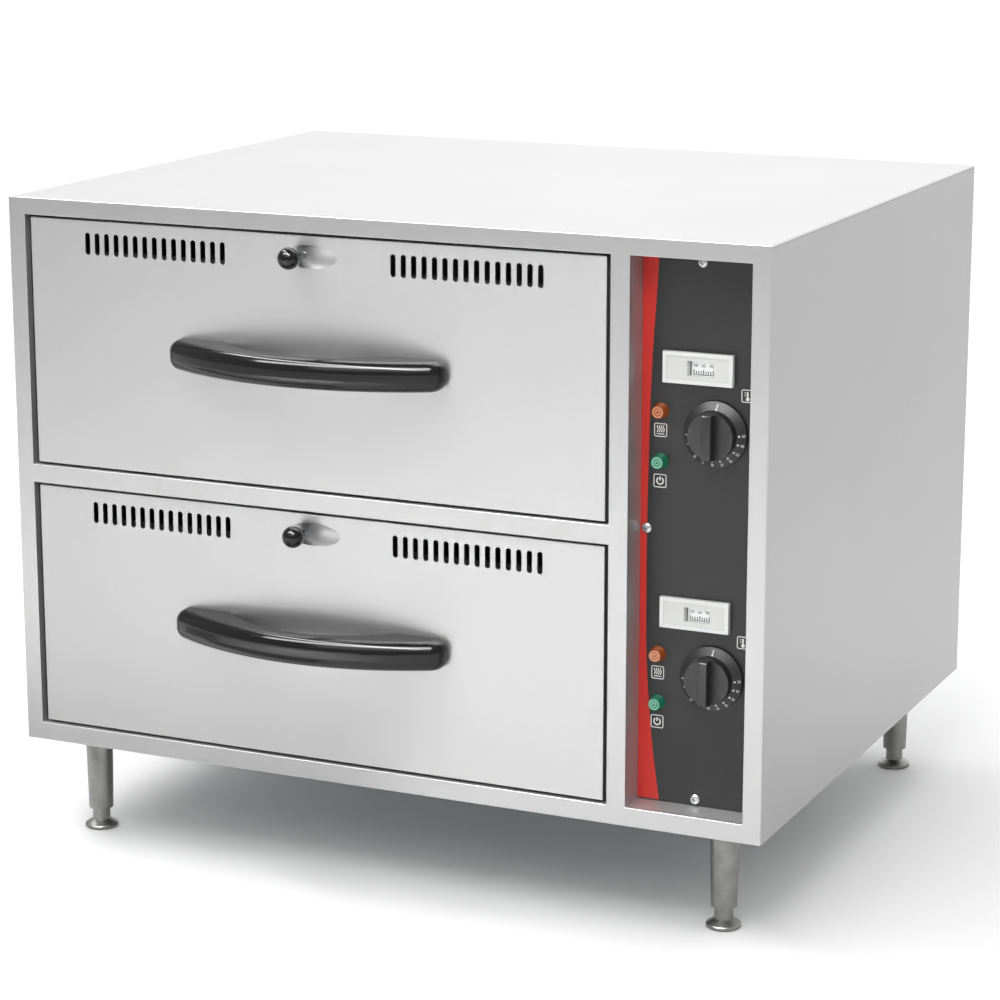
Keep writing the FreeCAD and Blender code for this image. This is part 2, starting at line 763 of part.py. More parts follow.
# Cavity liners: a five-sided box behind each drawer opening, with holes for the heater and the bulb
# Heater: a sheathed tube in four runs above the cavity floor, its tails in the control compartment
# Thermostat and its bulb: the bulb lies under the cavity roof, its capillary rises behind the panel
levels = {
    "upper": ("upper_z", "(lower_z + control_pitch)"),
    "lower": ("lower_z", "lower_z"),
}
partition_holes = []
wool_holes = []
clips = []
outer_slides = []
windows = []
heater_runs = ["heater_front + heater_pitch * " + str(run) for run in range(4)]
for level, (floor, control_z) in levels.items():
    heater_z = f"{floor} + heater_lift"
    bulb_z = f"{floor} + opening_height - bulb_drop"
    bulb_y = "panel_y + capillary_setback"
    knob_z = f"{control_z} + knob_level"

    def wall_holes(kind, start, length):
        """Holes for the two heater tails and the capillary, through one wall."""
        holes = []
        for end, y in (("front", heater_runs[0]), ("rear", heater_runs[3])):
            at = (start, y, heater_z)
            holes.append(rod(f"{level}_{kind}_{end}_hole", at, "x", "heater_radius + play", length))
        at = (start, bulb_y, bulb_z)
        holes.append(rod(f"{level}_{kind}_capillary_hole", at, "x", "capillary_radius + play", length))
        return holes

    outside = block(
        f"{level}_cavity_outside",
        ("opening_x - skin", "panel_y", f"{floor} - skin"),
        ("opening_width + 2 * skin", "cavity_depth + skin", "opening_height + 2 * skin"),
    )
    inside = block(
        f"{level}_cavity_inside",
        ("opening_x", "panel_y - overcut", floor),
        ("opening_width", "cavity_depth + overcut", "opening_height"),
    )
    liner_holes = wall_holes("liner", "opening_x + opening_width - overcut", "skin + 2 * overcut")
    finished(cut(f"{level}_cavity", outside, [inside] + liner_holes), f"{level}_cavity")
    wool_holes += wall_holes("wool", "opening_x + opening_width", "centre_stile")
    partition_holes += wall_holes("partition", "control_x - skin - overcut", "skin + 2 * overcut")

    inner_end = "opening_x + opening_width - heater_margin"
    far_end = "opening_x + heater_margin"
    tail_end = "control_x + heater_tail"
    heater_pieces = []
    for run, y in enumerate(heater_runs):
        near_end = inner_end if run in (1, 2) else tail_end
        at = (far_end, y, heater_z)
        length = f"{near_end} - ({far_end})"
        heater_pieces.append(rod(f"{level}_heater_run_{run}", at, "x", "heater_radius", length))
    for run, turn_end in enumerate((far_end, inner_end, far_end)):
        bend_at = (turn_end, f"{heater_runs[run]} + heater_pitch / 2", heater_z)
        bend = hoop(f"{level}_heater_bend_{run}", bend_at, "heater_pitch / 2", "heater_radius")
        quarter = 90 if turn_end == far_end else -90
        bend.Placement.Rotation = FreeCAD.Rotation(FreeCAD.Vector(0, 0, 1), quarter)
        bend.Angle3 = 180
        heater_pieces.append(bend)
    finished(fuse(f"{level}_heater", heater_pieces), f"{level}_heater")

    clip_columns = ("opening_x + 2 * heater_margin", "opening_x + opening_width - 2 * heater_margin")
    for index, x in enumerate(clip_columns):
        for run in (0, 3):
            saddle = block(
                f"{level}_clip_{index}_{run}",
                (f"{x} - clip_width / 2", f"{heater_runs[run]} - clip_width / 2", floor),
                ("clip_width", "clip_width", "heater_lift"),
            )
            groove = rod(
                f"{level}_clip_groove_{index}_{run}",
                (f"{x} - clip_width / 2 - overcut", heater_runs[run], heater_z),
                "x",
                "heater_radius",
                "clip_width + 2 * overcut",
            )
            clips.append(cut(f"{level}_clip_seat_{index}_{run}", saddle, [groove]))

    case = block(
        f"{level}_thermostat_case",
        ("knob_x - thermostat_width / 2", "panel_y + skin", f"{knob_z} - thermostat_height / 2"),
        ("thermostat_width", "thermostat_depth", "thermostat_height"),
    )
    bush = rod(
        f"{level}_thermostat_bush",
        ("knob_x", "panel_y - overlay_sheet", knob_z),
        "y",
        "bush_radius",
        "overlay_sheet + skin + play",
    )
    rise = rod(
        f"{level}_capillary_rise",
        ("knob_x", bulb_y, knob_z),
        "z",
        "capillary_radius",
        f"{bulb_z} - ({knob_z})",
    )
    elbow = ball(f"{level}_capillary_elbow", ("knob_x", bulb_y, bulb_z), "capillary_radius")
    bulb_x = "opening_x + opening_width - 2 * bulb_radius"
    crossing = rod(
        f"{level}_capillary_crossing",
        (bulb_x, bulb_y, bulb_z),
        "x",
        "capillary_radius",
        f"knob_x - ({bulb_x})",
    )
    bulb_at = (bulb_x, f"{bulb_y} - bulb_radius", bulb_z)
    bulb = rod(f"{level}_bulb", bulb_at, "y", "bulb_radius", "bulb_length")
    shaft_hole = rod(
        f"{level}_shaft_hole",
        ("knob_x", "panel_y - overlay_sheet - overcut", knob_z),
        "y",
        "shaft_radius + shaft_play",
        "overlay_sheet + overcut + skin + shaft_depth + play",
    )
    unit = fuse(f"{level}_thermostat_solid", [case, bush, rise, elbow, crossing, bulb])
    finished(cut(f"{level}_thermostat", unit, [shaft_hole]), f"{level}_thermostat")

    shaft = rod(
        f"{level}_thermostat_shaft",
        ("knob_x", "panel_y - overlay_sheet - knob_gap - skirt_height", knob_z),
        "y",
        "shaft_radius",
        "skirt_height + knob_gap + overlay_sheet + skin + shaft_depth",
    )
    finished(shaft, f"{level}_thermostat_shaft")

    # Thermostat knob: a dial skirt and a round grip whose sides are scooped away beside a bar
    knob = body(f"{level}_thermostat_knob")
    skirt = sketch_on(knob, f"{level}_knob_profile", "XY_Plane")
    polygon(
        skirt,
        [
            ("0", "0"),
            ("skirt_radius", "0"),
            ("skirt_radius", "-skirt_edge"),
            ("knob_radius + edge_round", "-skirt_height"),
            ("knob_radius", "-skirt_height"),
            ("knob_radius - edge_round", "edge_round - skirt_height - knob_height"),
            ("knob_radius - 2 * edge_round", "-skirt_height - knob_height"),
            ("0", "-skirt_height - knob_height"),
        ],
    )
    spun = knob.newObject("PartDesign::Revolution", f"{level}_knob_spun")
    spun.Profile = skirt
    spun.ReferenceAxis = (skirt, ["V_Axis"])
    spun.Angle = 360
    scoops = sketch_on(knob, f"{level}_knob_scoops", "XZ_Plane", "skirt_height + knob_height")
    for side in ("-", ""):
        rectangle(
            scoops,
            f"{side}1 * knob_bar / 2",
            "-knob_radius",
            f"{side}1 * knob_radius",
            "knob_radius",
        )
    pocket(knob, scoops, "knob_scoop")
    socket = sketch_on(knob, f"{level}_knob_socket", "XZ_Plane")
    circle(socket, "0", "0", "shaft_radius")
    pocket(knob, socket, "skirt_height", forward=True)
    place(knob, "knob_x", "panel_y - overlay_sheet - knob_gap", knob_z)
    finished(knob, f"{level}_thermostat_knob")

    # Panel thermometer: a white case through the panel, with a window over its scale and pointer
    gauge_z = f"{control_z} + thermometer_level"
    gauge_y = "panel_y - overlay_sheet - thermometer_proud"
    gauge = body(f"{level}_thermometer")
    bezel = sketch_on(gauge, f"{level}_bezel", "XZ_Plane")
    centred(bezel, "thermometer_width", "thermometer_height")
    pad(gauge, bezel, "thermometer_proud", forward=False)
    dish = sketch_on(gauge, f"{level}_bezel_dish", "XZ_Plane")
    centred(dish, "thermometer_width - 2 * thermometer_rim", "thermometer_height - 2 * thermometer_rim")
    pocket(gauge, dish, "edge_round")
    rear = sketch_on(gauge, f"{level}_gauge_rear", "XZ_Plane", "-thermometer_proud")
    centred(rear, "thermometer_width - 2 * thermometer_rim", "thermometer_height - 2 * thermometer_rim")
    pad(gauge, rear, "thermometer_back", forward=False)
    window = sketch_on(gauge, f"{level}_gauge_window", "XZ_Plane")
    centred(window, "window_width", "window_height", "window_shift")
    pocket(gauge, window, "edge_round + window_depth")
    place(gauge, "gauge_x", gauge_y, gauge_z)
    finished(gauge, f"{level}_thermometer")
    windows.append(
        block(
            f"{level}_window",
            ("window_x - window_width / 2", f"{gauge_y} + edge_round", f"{gauge_z} - window_height / 2"),
            ("window_width", "window_sheet", "window_height"),
        )
    )
    pointer = block(
        f"{level}_thermometer_pointer",
        (
            "window_x - pointer_travel / 2 - pointer_width / 2",
            f"{gauge_y} + edge_round + window_depth - play - pointer_width",
            f"{gauge_z} - window_height / 2 + play",
        ),
        ("pointer_width", "pointer_width", "window_height - 2 * play"),
    )
    finished(pointer, f"{level}_thermometer_pointer")

    # Telescopic slides: three nested channels at each side of the drawer
    slide_z = f"{floor} + slide_level"
    slide_y = "panel_y + slide_start"
    half = "slide_height / 2"
    gap = "slide_sheet + play"
    members = {
        "outer": ("0", half, "slide_width - 2 * slide_sheet", 1),
        "middle": (gap, f"{half} - ({gap})", "slide_width - slide_sheet", 1),
        "inner": (f"2 * ({gap})", f"{half} - 2 * ({gap})", "slide_width", -1),
    }
    for member, (inset, reach, end, opens) in members.items():
        pair = []
        for side, sign, wall in (("left", "", "opening_x"), ("right", "-", "opening_x + opening_width")):
            channel = body(f"{level}_slide_{member}_{side}")
            section = sketch_on(channel, f"{level}_slide_{member}_{side}_section", "XZ_Plane")
            if opens > 0:
                across = (inset, end, f"{inset} + slide_sheet")
            else:
                across = (end, inset, f"{end} - slide_sheet")
            back, mouth, web = (f"{sign}1 * ({value})" for value in across)
            polygon(
                section,
                [
                    (back, f"-({reach})"),
                    (mouth, f"-({reach})"),
                    (mouth, f"slide_sheet - ({reach})"),
                    (web, f"slide_sheet - ({reach})"),
                    (web, f"{reach} - slide_sheet"),
                    (mouth, f"{reach} - slide_sheet"),
                    (mouth, reach),
                    (back, reach),
                ],
            )
            pad(channel, section, "slide_length", forward=False)
            place(channel, wall, slide_y, slide_z)
            pair.append(channel)
        if member == "outer":
            outer_slides += pair
        else:
            finished(group(f"{level}_slide_{member}", pair), f"{level}_slide_{member}")

    # Drawer front: a folded tray with vent slots, a pressed eye round the damper stem, and damper guides
    middle_z = f"{floor} + opening_height / 2"
    front = body(f"{level}_front_tray")
    outline = sketch_on(front, f"{level}_front_outline", "XZ_Plane")
    centred(outline, "front_width", "front_height")
    pad(front, outline, "front_depth", forward=False)
    hollow = sketch_on(front, f"{level}_front_hollow", "XZ_Plane", "-front_sheet")
    centred(hollow, "front_width - 2 * front_sheet", "front_height - 2 * front_sheet")
    tray = pocket(front, hollow, "front_depth")
    rounded(front, tray, "edge_round", lambda edge: lies_at(edge, "Y", 0))

    screw_holes = sketch_on(front, f"{level}_front_screw_holes", "XZ_Plane")
    for side in ("-", ""):
        circle(screw_holes, f"{side}1 * handle_screw_spread", "0", "screw_radius")
    pocket(front, screw_holes, "front_sheet + overcut")
    for end, side in (("left", "-"), ("right", "")):
        slot = sketch_on(front, f"{level}_{end}_vent", "XZ_Plane")
        u = f"{side}1 * vent_offset - vent_pitch * (vent_count - 1) / 2"
        low = "vent_level - vent_height / 2 + vent_width / 2"
        high = "vent_level + vent_height / 2 - vent_width / 2"
        left = f"{u} - vent_width / 2"
        right = f"{u} + vent_width / 2"
        bow(slot, (right, high), (left, high), "DistanceY", high)
        bow(slot, (left, low), (right, low), "DistanceY", low)
        for side_x in (left, right):
            line(slot, (side_x, low), (side_x, high))
        vent = pocket(front, slot, "front_sheet + play")
        row_of(front, vent, slot, "vent_pitch", "vent_count")
    guide_start = "vent_offset + vent_pitch * vent_count / 2 + guide_width"
    guide_ends = {
        "top": ("+", "(front_height - front_sheet) / 2"),
        "bottom": ("-", "vent_level - damper_height / 2 - guide_width"),
    }
    for edge, (sign, far_side) in guide_ends.items():
        guide = sketch_on(front, f"{level}_{edge}_guide", "YZ_Plane", f"-({guide_start})")
        shelf = f"vent_level {sign} (damper_height / 2 + play)"
        polygon(
            guide,
            [
                ("front_sheet / 2", shelf),
                ("2 * front_sheet + 2 * play", shelf),
                ("2 * front_sheet + 2 * play", f"{shelf} - ({sign}1 * guide_lap)"),
                ("3 * front_sheet + 2 * play", f"{shelf} - ({sign}1 * guide_lap)"),
                ("3 * front_sheet + 2 * play", far_side),
                ("front_sheet / 2", far_side),
            ],
        )
        pad(front, guide, f"2 * ({guide_start})")
    place(front, "drawer_x", "door_y", middle_z)
    eye_x = "drawer_x + eye_shift"
    eye_z = f"{middle_z} + eye_level"
    eye_centre = (eye_x, "door_y + eye_depth - eye_sweep", eye_z)
    dish = hoop(f"{level}_eye_dish", eye_centre, "eye_sweep - eye_tube", "eye_tube")
    swell = hoop(f"{level}_eye_swell", eye_centre, "eye_sweep - eye_tube", "eye_tube + front_sheet")
    back_half = block(
        f"{level}_eye_back_half",
        (f"{eye_x} - eye_length", "door_y + front_sheet / 2", f"{eye_z} - eye_height"),
        ("2 * eye_length", "eye_depth + front_sheet", "2 * eye_height"),
    )
    eye_back = doc.addObject("Part::Common", f"{level}_eye_back")
    eye_back.Base = swell
    eye_back.Tool = back_half
    stem_slot = block(
        f"{level}_stem_slot",
        (
            "drawer_x - stem_shift - stem_radius - play",
            "door_y - overcut",
            f"{eye_z} - stem_radius - play",
        ),
        (
            "damper_travel + 2 * stem_radius + 2 * play",
            "eye_depth + front_sheet + 2 * overcut",
            "2 * stem_radius + 2 * play",
        ),
    )
    pressed = fuse(f"{level}_pressed_front", [front, eye_back])
    finished(cut(f"{level}_drawer_front", pressed, [dish, stem_slot]), f"{level}_drawer_front")

    # Drawer liner: the inner sheet that closes the back of the front, open behind the vents
    liner = body(f"{level}_drawer_liner")
    sheet = sketch_on(liner, f"{level}_liner_sheet", "XZ_Plane")
    centred(sheet, "front_width - 2 * front_sheet", "front_height - 2 * front_sheet")
    for side in ("-", ""):
        centred(sheet, "vent_pitch * vent_count", "vent_height", f"{side}1 * vent_offset", "vent_level")
    pad(liner, sheet, "front_sheet", forward=False)
    place(liner, "drawer_x", "door_y + front_depth - front_sheet", middle_z)
    finished(liner, f"{level}_drawer_liner")

    # Drawer seal: a black strip round the folded edge of the front
    seal = body(f"{level}_drawer_seal")
    strip = sketch_on(seal, f"{level}_seal_strip", "XZ_Plane")
    centred(strip, "front_width", "front_height")
    centred(strip, "opening_width - 2 * seal_play", "opening_height - 2 * seal_play")
    pad(seal, strip, "seal_depth", forward=False)
    place(seal, "drawer_x", "door_y + seal_setback", middle_z)
    finished(seal, f"{level}_drawer_seal")

    # Damper: a sliding plate with windows behind the vents, a bridge behind the eye, and its stem
    damper = body(f"{level}_damper_plate")
    plate = sketch_on(damper, f"{level}_damper_outline", "XZ_Plane", "-damper_y")
    centred(plate, f"2 * ({guide_start} - damper_travel)", "damper_height", "0", "vent_level")
    centred(
        plate,
        "eye_length + 2 * front_sheet + 4 * damper_travel",
        "eye_height + 2 * front_sheet",
        "eye_shift",
        "eye_level",
    )
    pad(damper, plate, "front_sheet", forward=False)
    for end, side in (("left", "-"), ("right", "")):
        gap_sketch = sketch_on(damper, f"{level}_{end}_damper_gap", "XZ_Plane", "-damper_y")
        first_gap = f"{side}1 * vent_offset - vent_pitch * (vent_count - 1) / 2"
        centred(gap_sketch, "vent_width", "vent_height", first_gap, "vent_level")
        gap_cut = pocket(damper, gap_sketch, "front_sheet + overcut")
        row_of(damper, gap_cut, gap_sketch, "vent_pitch", "vent_count")
    bridge = sketch_on(damper, f"{level}_damper_bridge", "XY_Plane", "eye_level - stem_radius * 2")
    half_span = "(eye_length / 2 + front_sheet + 2 * damper_travel)"
    polygon(
        bridge,
        [
            (f"eye_shift - {half_span} - guide_width", "damper_y + front_sheet / 2"),
            (f"eye_shift - {half_span}", "damper_y + front_sheet / 2"),
            (f"eye_shift - {half_span}", "bridge_y"),
            (f"eye_shift + {half_span}", "bridge_y"),
            (f"eye_shift + {half_span}", "damper_y + front_sheet / 2"),
            (f"eye_shift + {half_span} + guide_width", "damper_y + front_sheet / 2"),
            (f"eye_shift + {half_span} + guide_width", "bridge_y + front_sheet"),
            (f"eye_shift - {half_span} - guide_width", "bridge_y + front_sheet"),
        ],
    )
    pad(damper, bridge, "stem_radius * 4")
    stem = sketch_on(damper, f"{level}_damper_stem", "XZ_Plane", "-bridge_y - front_sheet / 2")
    circle(stem, "-stem_shift", "eye_level", "stem_radius")
    pad(damper, stem, "bridge_y + front_sheet / 2 + stem_reach")
    place(damper, "drawer_x", "door_y", middle_z)
    finished(damper, f"{level}_damper_plate")

    # Damper knob: a black ball with a tapered neck, screwed on the stem
    ball_at = ("drawer_x - stem_shift", "door_y - stem_reach", eye_z)
    sphere = ball(f"{level}_damper_ball", ball_at, "ball_radius")
    neck = cone(
        f"{level}_damper_neck",
        ball_at,
        "y",
        "ball_neck",
        "stem_radius + edge_round",
        "ball_neck_length",
    )
    stem_hole = rod(f"{level}_ball_hole", ball_at, "y", "stem_radius", "stem_reach")
    knob_solid = fuse(f"{level}_damper_knob_solid", [sphere, neck])
    finished(cut(f"{level}_damper_knob", knob_solid, [stem_hole]), f"{level}_damper_knob")

    # Handle: a moulded bow with blunt ends, rounded along its edges, on two feet
    handle = body(f"{level}_handle")
    plan = sketch_on(handle, f"{level}_handle_plan", "XY_Plane", "-handle_height / 2")
    end_x = "handle_length / 2"
    grip_x = "grip_length / 2"
    corners = [
        (f"-{grip_x}", "0", f"-{end_x}", "0"),
        (f"-{end_x}", "0", f"-{end_x}", "-handle_end"),
        (end_x, "-handle_end", end_x, "0"),
        (end_x, "0", grip_x, "0"),
    ]
    for from_x, from_y, to_x, to_y in corners:
        line(plan, (from_x, from_y), (to_x, to_y))
    rise_out = "(handle_reach - handle_end)"
    bow(
        plan,
        (f"-{end_x}", "-handle_end"),
        (end_x, "-handle_end"),
        "DistanceY",
        f"(({end_x}) ^ 2 + {rise_out} ^ 2) / (2 * {rise_out}) - handle_reach",
    )
    bow(
        plan,
        (f"-{grip_x}", "0"),
        (grip_x, "0"),
        "DistanceY",
        f"(({grip_x}) ^ 2 + grip_gap ^ 2) / (2 * grip_gap) - grip_gap",
    )
    bar = pad(handle, plan, "handle_height")
    end_level = -number_of("handle_end")
    ends = rounded(
        handle,
        bar,
        "handle_corner",
        lambda edge: runs_along(edge, "Z") and lies_at(edge, "Y", end_level),
    )
    half_height = number_of("handle_height / 2")
    grip_half = number_of(grip_x)

    def on_rim(edge):
        """Top and bottom edges, clear of the door."""
        flat = lies_at(edge, "Z", half_height) or lies_at(edge, "Z", -half_height)
        return flat and not lies_at(edge, "Y", 0)

    def on_grip_rim(edge):
        """Top and bottom edges of the finger side."""
        box = edge.BoundBox
        return on_rim(edge) and box.XMax < grip_half + 1 and box.XMin > -grip_half - 1

    def on_outer_rim(edge):
        """Top and bottom edges of the outer face."""
        return on_rim(edge) and not on_grip_rim(edge)

    soft = rounded(handle, ends, "handle_round", on_outer_rim)

    rounded(handle, soft, "grip_round", on_grip_rim)
    holes = sketch_on(handle, f"{level}_handle_holes", "XZ_Plane")
    for side in ("-", ""):
        circle(holes, f"{side}1 * handle_screw_spread", "0", "screw_radius")
    pocket(handle, holes, "handle_screw_length", forward=True)
    place(handle, "drawer_x", "door_y", middle_z)
    finished(handle, f"{level}_handle")

    screws = []
    for name, side in (("left", "-"), ("right", "+")):
        x = f"drawer_x {side} handle_screw_spread"
        shank = rod(
            f"{level}_{name}_shank",
            (x, "door_y - handle_screw_length", middle_z),
            "y",
            "screw_radius",
            "handle_screw_length + front_sheet",
        )
        head = rod(
            f"{level}_{name}_head",
            (x, "door_y + front_sheet", middle_z),
            "y",
            "screw_head",
            "screw_head_height",
        )
        screws.append(fuse(f"{level}_{name}_handle_screw", [shank, head]))
    finished(group(f"{level}_handle_screws", screws), f"{level}_handle_screws")

    # Drawer frame: a folded ring behind the front, with a window that the pan hangs in
    carrier = body(f"{level}_drawer_frame")
    ring = sketch_on(carrier, f"{level}_frame_ring", "XY_Plane")
    rectangle(ring, "-frame_width / 2", "0", "frame_width / 2", "frame_depth")
    pad(carrier, ring, "frame_side", forward=False)
    under = sketch_on(carrier, f"{level}_frame_under", "XY_Plane", "-frame_sheet")
    rectangle(
        under,
        "frame_sheet - frame_width / 2",
        "frame_sheet",
        "frame_width / 2 - frame_sheet",
        "frame_depth - frame_sheet",
    )
    pocket(carrier, under, "frame_side")
    seat = sketch_on(carrier, f"{level}_pan_seat", "XY_Plane")
    seat_length = "pan_length - 2 * pan_rim + 2 * play"
    seat_width = "pan_width - 2 * pan_rim + 2 * play"
    centred(seat, seat_length, seat_width, "0", "frame_depth / 2")
    pocket(carrier, seat, "frame_sheet + overcut")
    place(carrier, "drawer_x", "door_y + front_depth", f"{floor} + rim_level")
    finished(carrier, f"{level}_drawer_frame")

    # Food pan: a drawn pan with sloping sides, hung in the drawer frame by its rim
    pan_place = ("drawer_x", "door_y + front_depth + frame_depth / 2", f"{floor} + rim_level")
    pan_outside = drawn(f"{level}_pan_outside", "pan_rim", "0", "pan_corner", "pan_bottom")
    pan_inside = drawn(
        f"{level}_pan_inside",
        "(pan_rim + pan_sheet)",
        "pan_sheet",
        "pan_corner - pan_sheet",
        "pan_bottom - pan_sheet",
    )
    pan_rim = body(f"{level}_pan_rim")
    rim_outline = sketch_on(pan_rim, f"{level}_rim_outline", "XY_Plane")
    centred(rim_outline, "pan_length", "pan_width")
    rim_sheet = pad(pan_rim, rim_outline, "pan_sheet")
    rounded(pan_rim, rim_sheet, "rim_corner", lambda edge: runs_along(edge, "Z"))
    pan_solid = fuse(f"{level}_pan_solid", [pan_outside, pan_rim])
    pan = cut(f"{level}_food_pan", pan_solid, [pan_inside])
    place(pan, *pan_place)
    finished(pan, f"{level}_food_pan")

finished(group("heater_clips", clips), "heater_clips")
finished(group("slide_outer_members", outer_slides), "slide_outer_members")
finished(group("thermometer_windows", windows), "thermometer_windows")

# Partition between the cavities and the control compartment
partition = block(
    "partition_sheet",
    ("control_x - skin", "panel_y + skin", "leg_height + 2 * skin"),
    ("skin", "cabinet_depth - return_depth - 4 * skin", "cabinet_height - 3 * skin"),
)
finished(cut("control_partition", partition, partition_holes), "control_partition")

# Insulation: mineral wool slabs between the cavities and the outer sheets
wool_left = "opening_x - skin"
wool_right = "control_x - skin"
wool_top = "top_z - skin"
wool_base = "leg_height + 2 * skin"
wool_front = "front_y + skin"
cavity_top = "upper_z + opening_height + skin"
side_wool = block(
    "side_wool",
    ("skin - cabinet_width / 2", wool_front, wool_base),
    ("side_stile - 2 * skin", "cavity_end + rear_wool - front_y", f"{wool_top} - ({wool_base})"),
)
roof_wool = block(
    "roof_wool",
    (wool_left, wool_front, cavity_top),
    (f"{wool_right} - ({wool_left})", "cavity_end - front_y", f"{wool_top} - ({cavity_top})"),
)
floor_wool = block(
    "floor_wool",
    ("leg_inset + leg_plate - cabinet_width / 2", wool_front, wool_base),
    (
        f"{wool_right} - (leg_inset + leg_plate - cabinet_width / 2)",
        "cavity_end - front_y",
        f"lower_z - skin - ({wool_base})",
    ),
)
middle_wool = block(
    "middle_wool",
    (wool_left, "panel_y", "lower_z + opening_height + skin"),
    ("opening_width + 2 * skin", "cavity_depth + skin", "mid_rail - 2 * skin"),
)
right_wool = block(
    "right_wool",
    ("opening_x + opening_width + skin", "panel_y", "lower_z - skin"),
    ("centre_stile - 2 * skin", "cavity_depth + skin", "control_height + 2 * skin"),
)
back_wool = block(
    "back_wool",
    (wool_left, "cavity_end + skin", "lower_z - skin"),
    (f"{wool_right} - ({wool_left})", "rear_wool", f"{wool_top} - (lower_z - skin)"),
)
slabs = [
    side_wool,
    roof_wool,
    floor_wool,
    middle_wool,
    cut("right_slab", right_wool, wool_holes),
    back_wool,
]
finished(group("insulation", slabs), "insulation")

# Control panel: a steel plate on the returns of the control opening, under a black printed overlay
panel_holes = []
overlay_holes = []
panel_mid = "control_x + control_width / 2"
screw_spots = {
    "top": (panel_mid, "lower_z + control_height - panel_screw_edge"),
    "side": ("control_x + panel_screw_edge", "lower_z + panel_mid_level"),
    "bottom": (panel_mid, "lower_z + panel_screw_edge"),
}
lamp_levels = {"amber": "amber_level", "green": "green_level"}
for layer, holes in (("panel", panel_holes), ("overlay", overlay_holes)):
    start = "panel_y - overcut"
    through = "skin + 2 * overcut"
    for level, (floor, control_z) in levels.items():
        knob_spot = ("knob_x", start, f"{control_z} + knob_level")
        holes.append(rod(f"{layer}_{level}_bush_hole", knob_spot, "y", "bush_radius", through))
        gauge_corner = (
            "gauge_x - thermometer_width / 2 + thermometer_rim",
            start,
            f"{control_z} + thermometer_level - thermometer_height / 2 + thermometer_rim",
        )
        gauge_width = "thermometer_width - 2 * thermometer_rim"
        gauge_height = "thermometer_height - 2 * thermometer_rim"
        gauge_size = (gauge_width, through, gauge_height)
        holes.append(block(f"{layer}_{level}_gauge_hole", gauge_corner, gauge_size))
        for lamp, lamp_level in lamp_levels.items():
            spot = ("lamp_x", start, f"{control_z} + {lamp_level}")
            holes.append(rod(f"{layer}_{level}_{lamp}_hole", spot, "y", "lamp_body", through))
    for spot_name, (x, z) in screw_spots.items():
        holes.append(rod(f"{layer}_{spot_name}_screw_hole", (x, start, z), "y", "screw_radius", through))
panel_plate = block(
    "panel_plate",
    ("control_x - skin", "panel_y", "lower_z - panel_margin"),
    ("control_width + skin + panel_margin", "skin", "control_height + 2 * panel_margin"),
)
finished(cut("control_panel", panel_plate, panel_holes), "control_panel")
overlay_film = block(
    "overlay_film",
    ("control_x + play", "panel_y - overlay_sheet", "lower_z + play"),
    ("control_width - 2 * play", "overlay_sheet", "control_height - 2 * play"),
)
finished(cut("control_overlay", overlay_film, overlay_holes), "control_overlay")

panel_screws = []
for spot_name, (x, z) in screw_spots.items():
    head = cone(
        f"{spot_name}_panel_screw_head",
        (x, "panel_y - overlay_sheet - screw_head_height", z),
        "y",
        "screw_head / 2",
        "screw_head",
        "screw_head_height",
    )
    shank = rod(
        f"{spot_name}_panel_screw_shank",
        (x, "panel_y - overlay_sheet", z),
        "y",
        "screw_radius",
        "overlay_sheet + 4 * skin",
    )
    panel_screws.append(fuse(f"{spot_name}_panel_screw", [head, shank]))
finished(group("panel_screws", panel_screws), "panel_screws")

# Signal lamps: a domed lens in front of the overlay and a round case through the panel
for lamp, lamp_level in lamp_levels.items():
    lamps = []
    for level, (floor, control_z) in levels.items():
        z = f"{control_z} + {lamp_level}"
        lens = cone(
            f"{level}_{lamp}_lens",
            ("lamp_x", "panel_y - overlay_sheet - lamp_proud", z),
            "y",
            "lamp_face",
            "lamp_radius",
            "lamp_proud",
        )
        holder = rod(
            f"{level}_{lamp}_case",
            ("lamp_x", "panel_y - overlay_sheet", z),
            "y",
            "lamp_body",
            "overlay_sheet + lamp_back",
        )
        lamps.append(fuse(f"{level}_{lamp}_lamp", [lens, holder]))
    finished(group(f"{lamp}_lamps", lamps), f"{lamp}_lamps")

# Terminal block: a strip on the partition near the gland, with a gap at each pole
strip_z = "leg_height + gland_level"
strip_y = "rear_y - leg_setback - terminal_length"
terminal_base = block(
    "terminal_base",
    ("control_x", strip_y, strip_z),
    ("terminal_width", "terminal_length", "terminal_height"),
)
pole_gaps = []
for pole in range(int(number_of("terminal_poles"))):
    pole_gaps.append(
        block(
            f"pole_gap_{pole}",
            (
                "control_x + terminal_width - pole_depth",
                f"{strip_y} + terminal_length / terminal_poles * {pole + 0.5} - pole_gap / 2",
                f"{strip_z} - overcut",
            ),
            ("pole_depth + overcut", "pole_gap", "terminal_height + 2 * overcut"),
        )
    )
finished(cut("terminal_block", terminal_base, pole_gaps), "terminal_block")

doc.recompute()
broken = [item.Name for item in doc.Objects if "Invalid" in item.State or "Error" in item.State]
if broken:
    raise RuntimeError("failed: " + ", ".join(broken))
hollow_parts = [part.Label for part in parts if part.Shape.isNull() or not part.Shape.isValid()]
if hollow_parts:
    raise RuntimeError("no valid shape: " + ", ".join(hollow_parts))

os.makedirs("parts", exist_ok=True)
for part in parts:
    part.Shape.exportStep(f"parts/{part.Label}.step")
print(len(parts), "sub-parts written")
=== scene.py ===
import math

import bmesh
import bpy
from mathutils import Matrix, Vector


